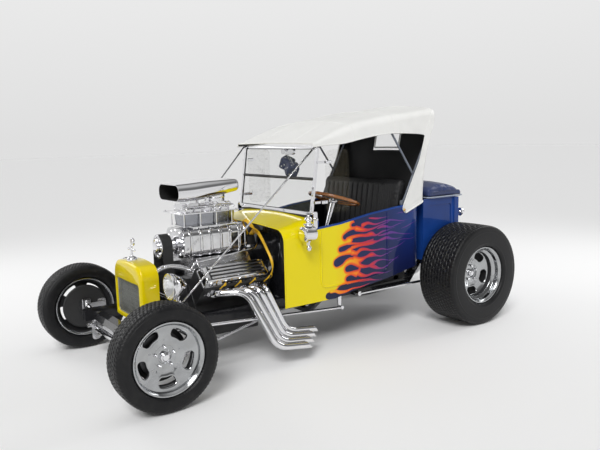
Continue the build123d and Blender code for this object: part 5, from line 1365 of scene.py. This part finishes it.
def buildWires():
    wires, boots = Shape(), Shape()
    for number, port in enumerate(headers["ports"]):
        lane = .009 * number
        low = .0025 * number - .004
        route = [(.04, .98 + .012 * number, .8), (.08 + lane, 1.0, .85 - lane), (.175, .985, .835 - lane),
            (.262, .984, .752 - lane), (.33 + lane * .3, .99 - lane * .5, .65 - lane * .4), (.338, .976, .58),
            (.318, .95, .538 + low)]
        route += [(.318, port + .105, .536 + low)] if port < .85 else []
        route += [(.335, min(port + .08, .945), .546), (.366, port + .06, .566), (.372, port + .046, .556),
            (.35, port + .04, .538), (.322, port + .04, .52)]
        path = smoothPath([(x, at(s), z) for x, s, z in route], 9)
        tube(wires, path, .0036, 8)
        plug = bankPoint(port + .04, .312, .085)
        revolve(boots, mm(-12, 0, -12, 8.5, -2, 8.5, 0, 6.5, 18, 6.5, 20, 7.5, 42, 6.8, 46, 4.5, 46, 0), plug,
            path[-1] - plug, 14)
        revolve(boots, mm(-10, 0, -10, 7, 14, 6, 16, 0), path[0], (.3, 0, .95), 12)
    # the black sleeve that holds the leads under the valve cover's edge
    sleeve = smoothPath([(.332, at(.97), .56), (.319, at(.948), .538), (.318, at(.9), .536), (.318, at(.66), .536),
        (.318, at(.615), .536)], 8)
    tube(boots, sleeve, .0095, 14)
    # the coil lead and a loom along the blower
    for lane in (0, .009, .018):
        path = smoothPath([(.15 - lane * .4, at(1.004), .834 - lane), (.168 - lane, at(.955), .862),
            (.166 - lane, at(.93), .9 - lane), (.12, at(.915), .93 - lane), (.06 - lane, at(.93), .9),
            (.03 - lane, at(.985), .803)], 9)
        tube(wires, path, .0036, 8)
    wires.mirror()
    boots.mirror()
    makePiece("plugWires", wires, yellowRubber)
    makePiece("plugBoots", boots, beltRubber)


def buildCarburettors():
    dressNode("carburettors", chrome, bevel=.0018, above=1.0122)
    shape, lines = Shape(), Shape()
    # the plate that they stand on, its tapered plinth, and studs between plate and blower
    plinth = Shape()
    ringStack(plinth, [[(u, at(.657) + v, z) for u, v in roundedOutline(.15 + 2 * g, .38 + 2 * g, .02, 6)]
        for z, g in ((.9155, .004), (.921, .004), (.9225, 0), (.996, .0064), (.998, .01), (1.0025, .01))])
    roundedBox(plinth, (-.14, at(.41), 1.002), (.14, at(.85), 1.012), .003, slot=1)
    for x in (-.098, .098):
        for station in (.455, .575, .695, .815):
            revolve(plinth, mm(914, 0, 914, 7.5, 921.5, 7.5, 921.5, 4.2, 1002.5, 4.2, 1002.5, 0), [x, at(station), 0],
                (0, 0, 1), 12, slot=1)
    makePiece("carburettorPlate", plinth, [carbAlloy, chrome], sharp=34)
    for station in (.545, .745):
        y = at(station)
        for side in (1, -1):
            # float bowls' covers and screws, the throttle shaft and its lever
            for shift in (-.066, .066):
                sideBox(shape, side, (.04, y + shift - .02, 1.03), (.0665, y + shift + .02, 1.06), .005)
                for dz in (-.009, .009):
                    for dy in (-.014, .014):
                        revolve(shape, mm(0, 0, 0, 3.5, 2.5, 3, 2.8, 0), [side * .0665, y + shift + dy, 1.045 + dz],
                            (side, 0, 0), 8)
            tube(shape, [(side * .06, y, 1.024), (side * .09, y, 1.024)], .004, 10)
            tube(shape, [(side * .086, y, 1.024), (side * .086, y - .012, 1.048)], .005, 8)
        revolve(shape, mm(1066, 0, 1066, 58, 1070, 62, 1087.5, 62, 1087.5, 0), [0, y, 0], (0, 0, 1), 48)
    # linkage between the two, and the chrome fuel line with its feeds
    tube(shape, [(.086, at(.533), 1.048), (.086, at(.733), 1.048)], .003, 8)
    fuel = smoothPath([(.112, at(.452), 1.006), (.114, at(.47), 1.036), (.108, at(.5), 1.046), (.108, at(.64), 1.046),
        (.108, at(.8), 1.046), (.11, at(.83), 1.03)], 8)
    tube(lines, fuel, .0055, 12)
    for station in (.479, .611, .679, .811):
        tube(lines, [(.108, at(station), 1.046), (.062, at(station), 1.046)], .0045, 10)
        tube(lines, [(.078, at(station), 1.046), (.064, at(station), 1.046)], .0075, 6)
    # the long chrome line from the pump, along the valve cover's upper edge and down at the front
    pump = bentPath([(.15, at(.455), .64), (.196, at(.44), .64), (.202, at(.455), .69), (.206, at(.93), .735),
        (.168, at(.975), .76)], .024, 8)
    tube(lines, pump, .0055, 12)
    # bolts along the plate's edges
    for x in (.128, -.128):
        for station in np.linspace(.425, .835, 7):
            revolve(shape, mm(1011.5, 0, 1011.5, 5.8, 1016.5, 5.8, 1017.5, 4.5, 1017.5, 0), [x, at(station), 0],
                (0, 0, 1), 6)
    hose = smoothPath([(.15, at(.203), .648), (.15, at(.245), .672), (.15, at(.317), .682), (.15, at(.4), .662),
        (.142, at(.465), .632), (.118, at(.5), .618)], 24)
    tube(lines, hose, .015 + .0018 * np.sin(np.arange(len(hose)) * pi / 2 + pi / 4), 18)
    for a, b in ((1, 7), (-8, -2)):
        tube(lines, hose[a:b], .0185, 18)
    makePiece("carburettorParts", shape, chrome)
    makePiece("fuelLines", lines, chrome)


valveCover = {"middle": .7275, "half": .2515, "wide": .075, "deck": .345, "fins": 4, "finSpread": .04, "bolts": 5}


def buildCovers():
    # valve covers: a crowned box with rounded ends, and fins along its top on a dark panel
    shape = Shape()
    mid, half, wide, deck = (valveCover[key] for key in ("middle", "half", "wide", "deck"))
    rings = []
    for h, shrink in ((.0003, 0), (.006, 0), (.0065, .004), (.03, .007), (.05, .011), (.058, .015), (.0615, .021),
            (.062, .03)):
        outline = roundedOutline(2 * (half - shrink), 2 * (wide - shrink * 1.2), .018 + .2 * shrink, 8)
        rings.append([bankPoint(mid + s, deck + h, v) for s, v in outline])
    ringStack(shape, rings)
    ringStack(shape, [[bankPoint(mid + s, deck + h, w) for s, w in roundedOutline(2 * (half - .044), .104, .01,
        6)] for h in (.06, .0624)], slot=1)
    for v in np.linspace(-valveCover["finSpread"], valveCover["finSpread"], valveCover["fins"]):
        rings = []
        for h, grow in ((.058, 0), (.0655, 0), (.0668, -.0008), (.067, -.0018)):
            outline = roundedOutline(2 * (half - .052 + grow), .015 + 2 * grow, .007 + grow, 4, (0, v))
            rings.append([bankPoint(mid + s, deck + h, w) for s, w in outline])
        ringStack(shape, rings)
    for s in np.linspace(-.236, .236, valveCover["bolts"]):
        for v in (-.069, .069):
            revolve(shape, mm(5, 0, 5, 5.8, 10.5, 5.8, 11.5, 4.5, 11.5, 0), bankPoint(mid + s, deck, v), bankOut, 6)
    shape.mirror()
    makePiece("valveCovers", shape, [chromeCover, darkSatin], "valve_covers", sharp=34)


def buildBlockTrim():
    dressNode("engine_block", engineBlack, bevel=.003)
    dressNode("intake_manifold", alloy, bevel=.003)
    dressNode("gearbox", alloy)
    shape = Shape()
    # core plugs, the sump's and the heads' bolts, and the oil filter
    for station in np.linspace(.545, .905, 4):
        revolve(shape, mm(0, 0, 0, 21, 2.5, 21, 2.5, 18, 1, 16, 1, 0), [.184, at(station), .33], (1, 0, -.25), 24)
    for station in np.linspace(.49, .965, 10):
        revolve(shape, mm(0, 0, 0, 6, 6, 6, 6.5, 0), [.15, at(station), .268], (0, 0, -1), 6)
        revolve(shape, mm(0, 0, 0, 7.5, 7, 7.5, 7.5, 0), bankPoint(station, .3, .088), bankOff, 6)
    shape.mirror()
    revolve(shape, mm(0, 0, 0, 40, 4, 46, 75, 46, 82, 40, 84, 0), [-.15, at(.9), .235], (-.5, 0, -.85), 32)
    makePiece("blockTrim", shape, steel)
    magneto = Shape()
    place = [0, at(.953), 0]
    revolve(magneto, smoothPath(mm(560, 0, 560, 30, 575, 30, 580, 26, 700, 26, 712, 34, 719, 40), 3), place, (0, 0, 1),
        36)
    cap = [0, at(.993), 0]
    revolve(magneto, mm(716, 0, 716, 58, 720, 62, 735, 62, 738, 58, 738, 0), cap, (0, 0, 1), 48)
    revolve(magneto, smoothPath(mm(738, 56, 760, 55, 782, 50, 792, 42, 795, 0), 4), cap, (0, 0, 1), 48, slot=1)
    for angle in circle(8):
        revolve(magneto, mm(778, 0, 778, 9, 799, 7.5, 799.5, 0), [.038 * cos(angle), cap[1] + .038 * sin(angle), 0],
            (0, 0, 1), 12, slot=1)
    makePiece("magneto", magneto, [alloy, beltRubber], "ignition")


buildScoop()
buildBlower()
buildDrive()
buildHeaders()
buildWires()
buildCarburettors()
buildCovers()
buildBlockTrim()
print("engine made")


# windshield, wheel, dash and seat
screen = {"station": 1.226, "z": .9673, "lean": .064, "height": .452, "half": .468, "bar": .238}


slope = np.hypot(screen["lean"], screen["height"])


def screenPoint(x, up):
    # a place on the windshield: across, and up its slope
    return [x, at(screen["station"] + up * screen["lean"] / slope), screen["z"] + up * screen["height"] / slope]


def buildScreen():
    dressNode("windshield_frame", chrome, bevel=.002)
    shape = Shape()
    # the black rubber under the frame, and the seal round each pane
    low = [(x, at(1.224), .955 - .016 * (x / .4) ** 2 + .0055) for x in np.linspace(-.452, .452, 40)]
    tube(shape, low, .0075, 10)
    tube(shape, [screenPoint(x, screen["bar"]) for x in (-.46, .46)], .0105, 12)
    for bottom, high in ((.013, screen["bar"] - .0075), (screen["bar"] + .0075, slope - .013)):
        flat = roundedOutline(.906, high - bottom, .012, 6, (0, (high + bottom) / 2))
        tube(shape, [screenPoint(x, up) for x, up in np.vstack([flat, flat[:1]])], .0028, 6)
    makePiece("screenRubber", shape, darkSatin)
    dressNode("windshield_glass", [clearGlass, etchedGlass], bevel=.0012,
        pick=lambda c: np.abs(c[:, 0]) > .49)
    dressNode("windshield_braces", chrome)
    # clamps that hold the wings, with their screws, and the knobs that lock the posts
    trim = Shape()
    for side in (1, -1):
        for share in (.16, .76):
            y = at(screen["station"] + screen["lean"] * share)
            z = screen["z"] + screen["height"] * share + .006
            for a in (.068, .088):
                revolve(trim, mm(-4, 0, -4, 7, 0, 7.5, 4.5, 6, 5, 0), [side * .5105, y + a, z], (side, 0, 0), 16)
            sideBox(trim, side, (.5092, y + .05, z - .011), (.5128, y + .1, z + .011), .0015)
        revolve(trim, mm(-6, 0, -6, 12, 4, 12, 10, 9, 14, 10, 20, 8, 22, 0), [side * .5092, at(1.23), .935],
            (side, 0, 0), 24)
    makePiece("screenTrim", trim, chrome)
    # mirror under the top rail, and a pair of dotted cloth dice on cords
    mirror, dice, cords = Shape(), Shape(), Shape()
    flat = roundedOutline(.17, .048, .022, 8)
    y, z, shift = at(1.325), 1.388, .066
    rings = [[(shift + u * k, y + d, z + v * k) for u, v in flat] for k, d in ((.92, -.012), (1, -.006), (1, .004),
        (.96, .007))]
    ringStack(mirror, rings)
    tube(mirror, [(shift, y - .004, z), (shift, y - .038, z + .022)], .006, 12)
    makePiece("rearMirror", mirror, chrome)
    for x, drop, turn, lean in ((.034, .088, .5, .5), (.092, .13, -.35, .62)):
        c, n, d, m = cos(turn), sin(turn), cos(lean), sin(lean)
        spin = np.array([[d * c, -d * n, m], [n, c, 0], [-m * c, m * n, d]])  # turned about z, then leaned about y
        middle = np.array([x, y + .01, z - drop])
        side = .044
        s = np.linspace(-1, 1, 15)
        for axis in range(3):
            for sign in (-1, 1):
                u, v = np.meshgrid(s, s, indexing="ij")
                cube = np.stack([np.full_like(u, sign), u, v], -1)[..., np.roll(np.arange(3), axis)]
                # between a cube and a ball: soft corners
                cube = cube * (1 + np.abs(cube).max(-1, keepdims=True) * .25) / np.maximum(1,
                    (np.sum(cube ** 8, -1, keepdims=True)) ** .125) / 1.25
                dice.grid(middle + cube @ spin.T * side)
                for a, b in [(-.45, -.45), (.45, .45), (0, 0), (-.45, .45), (.45, -.45)][:2 + axis + (sign > 0)]:
                    spot = np.array([sign * 1.0, a, b])[np.roll(np.arange(3), axis)]
                    way = np.array([sign * 1.0, 0, 0])[np.roll(np.arange(3), axis)]
                    revolve(dice, mm(-1, 0, -1, 5.5, 1.2, 4.5, 1.5, 0), middle + spin @ spot * side * .985, spin @ way,
                        12, slot=1)
        cord = smoothPath([(shift, y - .002, z + .004), ((x + shift) / 2, y + .008, z - drop * .35),
            tuple(middle + spin @ [0, 0, side * .9])], 8)
        tube(cords, cord, .0014, 6)
    makePiece("clothDice", dice, [navyCloth, whiteDial])
    makePiece("diceCords", cords, whiteVinyl)


steering = {"x": .25, "station": 1.6, "z": 1.03, "lean": 18, "r": .185, "gripR": .0125, "fingers": 18,
    "fingerDeep": .0008, "spokes": 4, "spokeThick": .0025}


def buildSteering():
    shape = Shape()
    centre = np.array([steering["x"], at(steering["station"]), steering["z"]])
    lean = radians(steering["lean"])
    axis = np.array([0, sin(lean), cos(lean)])
    side = np.array([1.0, 0, 0])
    up = np.cross(axis, side)
    turn, around = circle(120), circle(18)
    radial = np.cos(turn)[:, None] * side + np.sin(turn)[:, None] * up
    grip = steering["gripR"] + steering["fingerDeep"] * np.cos(turn * steering["fingers"])[:, None, None]
    points = centre + radial[:, None] * (steering["r"] + grip * np.cos(around)[None, :,
        None]) + axis * grip * np.sin(around)[None, :, None]
    shape.grid(points, loopRows=True, loopCols=True)
    for angle in circle(steering["spokes"]) + pi / 4:
        way = cos(angle) * side + sin(angle) * up
        cross = np.cross(axis, way)
        rings = []
        for reach, wide, drop in ((.02, .018, -.02), (.06, .014, -.016), (.11, .011, -.01), (.15, .011, -.004),
                (.178, .013, 0)):
            spot = centre + way * reach + axis * drop
            rings.append([spot + cross * wide * cos(a) + axis * steering["spokeThick"] * sin(a) for a in around])
        ringStack(shape, rings, slot=1)
    hub = mm(-34, 0, -34, 30, -26, 34, -10, 34, -6, 30, 0, 22, 2, 18, 2, 0)
    revolve(shape, hub, centre, axis, 40, slot=1)
    makePiece("steeringWheel", shape, [wood, chrome], "steering_wheel", "steering_wheel", sharp=50)
    dressNode("steering_column", chrome)


dash = {
    "dials": ((.19, .862, .044), (.31, .862, .044), (.06, .868, .027), (-.01, .868, .027), (-.08, .868, .027)),
    "station": 1.2815, "switches": (-.2, -.26, -.32), "marks": 9,
}


def buildDash():
    dressNode("dash", bluePaint, bevel=.003)
    dials = Shape()
    for x, z, r in dash["dials"]:
        place = [x, at(dash["station"]), z]
        revolve(dials, [(-.002, r - .006), (-.002, r), (.004, r), (.006, r - .003), (.004, r - .006)], place,
            (0, 1, 0), 40)
        revolve(dials, [(.003, 0), (.003, r - .005)], place, (0, 1, 0), 40, slot=1)
        for a in np.linspace(-2.2, 2.2, dash["marks"]):
            spot = [x + (r - .01) * sin(a), place[1] + .0034, z + (r - .01) * cos(a)]
            revolve(dials, mm(0, 0, 0, 1.2, .4, 1.2, .4, 0), spot, (0, 1, 0), 6, slot=2)
        tube(dials, [(x, place[1] + .0045, z), (x - .5 * r, place[1] + .0045, z + .45 * r)], .0009, 6, slot=3)
    for x in dash["switches"]:
        revolve(dials, mm(0, 0, 0, 4, 10, 4, 12, 9, 20, 8, 21, 0), [x, at(1.281), .85], (0, 1, 0), 20)
    makePiece("dashDials", dials, [chrome, darkInside, whiteDial, redRubber])


padding = {"voxel": .006, "pressure": 4.0, "rounds": 20, "quality": 4}


def coordinates(mesh):
    points = np.empty(len(mesh.vertices) * 3)
    mesh.vertices.foreach_get("co", points)
    return points.reshape(-1, 3)


def paddedPiece(name, shape, finish, replaces, shaping, body="chassis", cap=.01):
    # a padded piece: swollen as cloth, with how far any point moves held to the cap, then given its seams in code
    made = makePiece(name, shape, finish, replaces, body, sharp=80)
    remesh = made.modifiers.new("even", "REMESH")
    remesh.mode, remesh.voxel_size = "VOXEL", padding["voxel"]
    even = bpy.data.meshes.new_from_object(made.evaluated_get(bpy.context.evaluated_depsgraph_get()))
    made.modifiers.clear()
    made.data = even
    start = end = coordinates(even)
    cloth = made.modifiers.new("swell", "CLOTH")
    cloth.settings.use_pressure, cloth.settings.uniform_pressure_force = True, padding["pressure"]
    cloth.settings.effector_weights.gravity = 0
    cloth.settings.quality = padding["quality"]
    cloth.point_cache.frame_end = padding["rounds"]
    for number in range(1, padding["rounds"] + 1):
        bpy.context.scene.frame_set(number)
    end = coordinates(made.evaluated_get(bpy.context.evaluated_depsgraph_get()).data)
    made.modifiers.clear()
    bpy.context.scene.frame_set(1)
    move = end - start
    move *= np.minimum(1, cap / np.maximum(np.linalg.norm(move, axis=1, keepdims=True), 1e-9))
    even.vertices.foreach_set("co", shaping(start + move).ravel())
    even.polygons.foreach_set("use_smooth", np.ones(len(even.polygons), bool))
    if not even.materials:
        even.materials.append(finish.material)
    even.update()
    return made


def sideLoft(shape, profile, half, edge, steps=26):
    # a side view carried across the car, with its outline drawn in towards both ends
    profile = roundedLoop(np.asarray(profile, float), .022, 4)
    middle = profile.mean(0)
    turn = np.linspace(0, pi / 2, 6)
    across = np.concatenate([-half + edge * (1 - np.cos(turn)), np.linspace(edge - half, half - edge, steps)[1:-1],
        half - edge + edge * np.sin(turn)])
    inset = np.concatenate([edge * (1 - np.sin(turn)), np.zeros(steps - 2), edge * (1 - np.cos(turn))])
    away = profile - middle
    size = np.linalg.norm(away, axis=1, keepdims=True)
    rings = []
    for x, draw in zip(across, inset):
        flat = middle + away * np.maximum(.02, 1 - draw / size)
        rings.append(np.stack([np.full(len(flat), x), at(flat[:, 0]), flat[:, 1]], -1))
    ringStack(shape, rings)


seat = {"cushion": mm(1648, 420, 1640, 575, 1668, 604, 1940, 586, 1985, 590, 1985, 420),
    "back": mm(2002, 560, 1998, 640, 2068, 1130, 2088, 1160, 2126, 1156, 2138, 1120, 2138, 560), "half": .462,
    "edge": .028, "pleat": .0615, "pleated": .42, "rise": .004, "groove": .008, "crown": .006}


def buildSeat():
    cushion, back = Shape(), Shape()
    sideLoft(cushion, seat["cushion"], seat["half"], seat["edge"])
    sideLoft(back, seat["back"], seat["half"], seat["edge"])

    def pleats(points, normal, along, low, high):
        # rolled channels across the face that people lean on
        x = points[:, 0]
        groove = np.exp(-(np.abs(np.sin(x / seat["pleat"] * pi)) / .22) ** 2)
        inside = np.clip((seat["pleated"] - np.abs(x)) / .02, 0, 1)
        t = (points[:, along] - low) / (high - low)
        inside = inside * np.clip(t / .06, 0, 1) * np.clip((1 - t) / .06, 0, 1)
        return (seat["rise"] * (1 - groove) - seat["groove"] * groove)[:, None] * inside[:, None] * normal

    def shapeCushion(points):
        up = np.clip((points[:, 2] - .55) / .02, 0, 1)[:, None]
        crown = seat["crown"] * (1 - (points[:, 0] / .46) ** 2)[:, None] * up * [0, 0, 1]
        return points + pleats(points, np.array([0, 0, 1.0]), 1, at(1.66), at(1.97)) * up + crown

    def shapeBack(points):
        lean = np.interp(points[:, 2], [.6, 1.13], [at(2.002), at(2.066)])
        front = np.clip((lean + .03 - points[:, 1]) / .02, 0, 1)[:, None]
        return points + pleats(points, np.array([0, -1.0, .15]), 2, .62, 1.12) * front

    low = paddedPiece("seatCushion", cushion, blackLeather, "seat", shapeCushion)
    high = paddedPiece("seatBack", back, blackLeather, None, shapeBack)
    base = Shape()
    roundedBox(base, (-.455, at(1.655), .3865), (.455, at(2.06), .425), .006)
    roundedBox(base, (-.455, at(2.0), .3865), (.455, at(2.125), .6), .006)
    makePiece("seatBase", base, carpet)


cover = {"side": mm(2386, 992, 2384, 1068, 2404, 1080, 2540, 1102, 2630, 1098, 2710, 1074, 2775, 1024, 2786, 992),
    "half": .458, "edge": .02, "seamGap": .205, "seamDeep": .0045, "fall": .026, "pipingR": .0062}


def buildCover():
    # the padded bed cover: boxed front, crowned and seamed top, and piping round its lower edge
    shape = Shape()
    sideLoft(shape, cover["side"], cover["half"], cover["edge"])

    def channels(points):
        # long seams along the top, which falls with the cube of the distance from the middle
        points = points.copy()
        up = np.clip((points[:, 2] - 1.03) / .03, 0, 1)
        x, s = points[:, 0], points[:, 1] - frontAxleY
        seam = np.exp(-(np.sin((x / cover["seamGap"] + .5) * pi) / .045) ** 2) * (np.abs(x) < .43)
        edge = np.clip((s - 2.4) / .02, 0, 1) * np.clip((2.78 - s) / .02, 0, 1)
        fall = cover["fall"] * np.abs(x / cover["half"]) ** 3
        points[:, 2] = np.clip(points[:, 2] - (cover["seamDeep"] * seam * edge + fall) * up, .9845, 1.1095)
        points[:, 0] = np.clip(x, -.4638, .4638)
        return points

    pad = paddedPiece("bedCover", shape, blueVinyl, "bed_cover", channels, "bed_cover", .007)
    trim = Shape()
    flat = roundedOutline(.926, .396, .03, 8, (0, 2.584))
    ring = np.stack([flat[:, 0], at(flat[:, 1]), np.full(len(flat), .9905)], -1)
    tube(trim, np.vstack([ring, ring[:1]]), cover["pipingR"], 10)
    for side in (1, -1):
        sideBox(trim, side, (.3, at(2.353), 1.066), (.308, at(2.387), 1.088), .002, 1)
    makePiece("coverPiping", trim, [pipingVinyl, chrome], body="bed_cover")


navyCloth = vinylFinish("navyCloth", (.012, .018, .07), 1600, .9, .002)
pipingVinyl = vinylFinish("pipingVinyl", (.3, .34, .42), 1200, .45)
buildScreen()
buildSteering()
buildDash()
buildSeat()
buildCover()
print("cabin and cover made")


# bed and running gear
bed = {"railX": .446, "railZ": .9765, "railR": .0062, "railFrom": 2.337, "railTo": 2.7, "lampX": .458, "lampZ": .85}


def buildBed():
    dressNode("pickup_bed", bluePaint, bevel=.003)
    dressNode("tailgate", bluePaint, bevel=.003)
    shape = Shape()
    # rolled top rails of the bed
    for side in (1, -1):
        rail = [(side * bed["railX"], at(bed[end]), bed["railZ"]) for end in ("railFrom", "railTo")]
        tube(shape, rail, bed["railR"], 12)
    makePiece("bedRails", shape, bluePaint)
    lamps = Shape()
    for side in (1, -1):
        centre = [side * bed["lampX"], at(0), bed["lampZ"]]
        revolve(lamps, mm(2730.4, 0, 2730.4, 14, 2746, 14, 2748, 30, 2752, 34, 2770, 34, 2776, 31), centre, (0, 1, 0),
            40)
        revolve(lamps, smoothPath(mm(2774, 31, 2779, 27, 2782, 16, 2783.5, 0), 4), centre, (0, 1, 0), 40, slot=1)
    makePiece("tailLamps", lamps, [chrome, amber], "tail_lamps")


coil = {"low": (.38, .385), "high": (.362, .58), "station": 2.697, "r": .036, "wireR": .0058, "turns": 7}


def buildRunningGear():
    dressNode("frame", blackPaint, bevel=.003)
    dressNode("floor", [carpet, blackPaint], pick=lambda c: (c[:, 2] < .379) | (c[:, 1] < at(1.063)))
    for node, finish, slot in (("front_axle", chrome, "chrome"), ("tie_rod", chrome, "chrome"),
            ("drag_link", chrome, "chrome"), ("pitman_arm", chrome, "chrome"), ("rear_axle", chrome, "chrome"),
            ("front_suspension", steel, "polished_steel"), ("knuckle_left", steel, "polished_steel"),
            ("knuckle_right", steel, "polished_steel"), ("top_bows", bowPaint, "frame_paint")):
        dressNode(node, finish, bevel=.0012)
    # coils round the rear struts
    coils = Shape()
    for side in (1, -1):
        low, high = (np.array([side * x, at(coil["station"]), z]) for x, z in (coil["low"], coil["high"]))
        along = (high - low) / np.linalg.norm(high - low)
        across = np.cross(along, [0, 1.0, 0])
        t = np.linspace(0, 1, 220)[:, None]
        angle = t * 2 * pi * coil["turns"]
        path = low + (high - low) * t + coil["r"] * (np.cos(angle) * across + np.sin(angle) * np.array([0, 1.0, 0]))
        tube(coils, path, coil["wireR"], 8)
    makePiece("rearCoils", coils, yellowPaint)


bowPaint = satinFinish("bowPaint", (.16, .18, .22), .35)
buildBed()
buildRunningGear()
print("bed and running gear made")
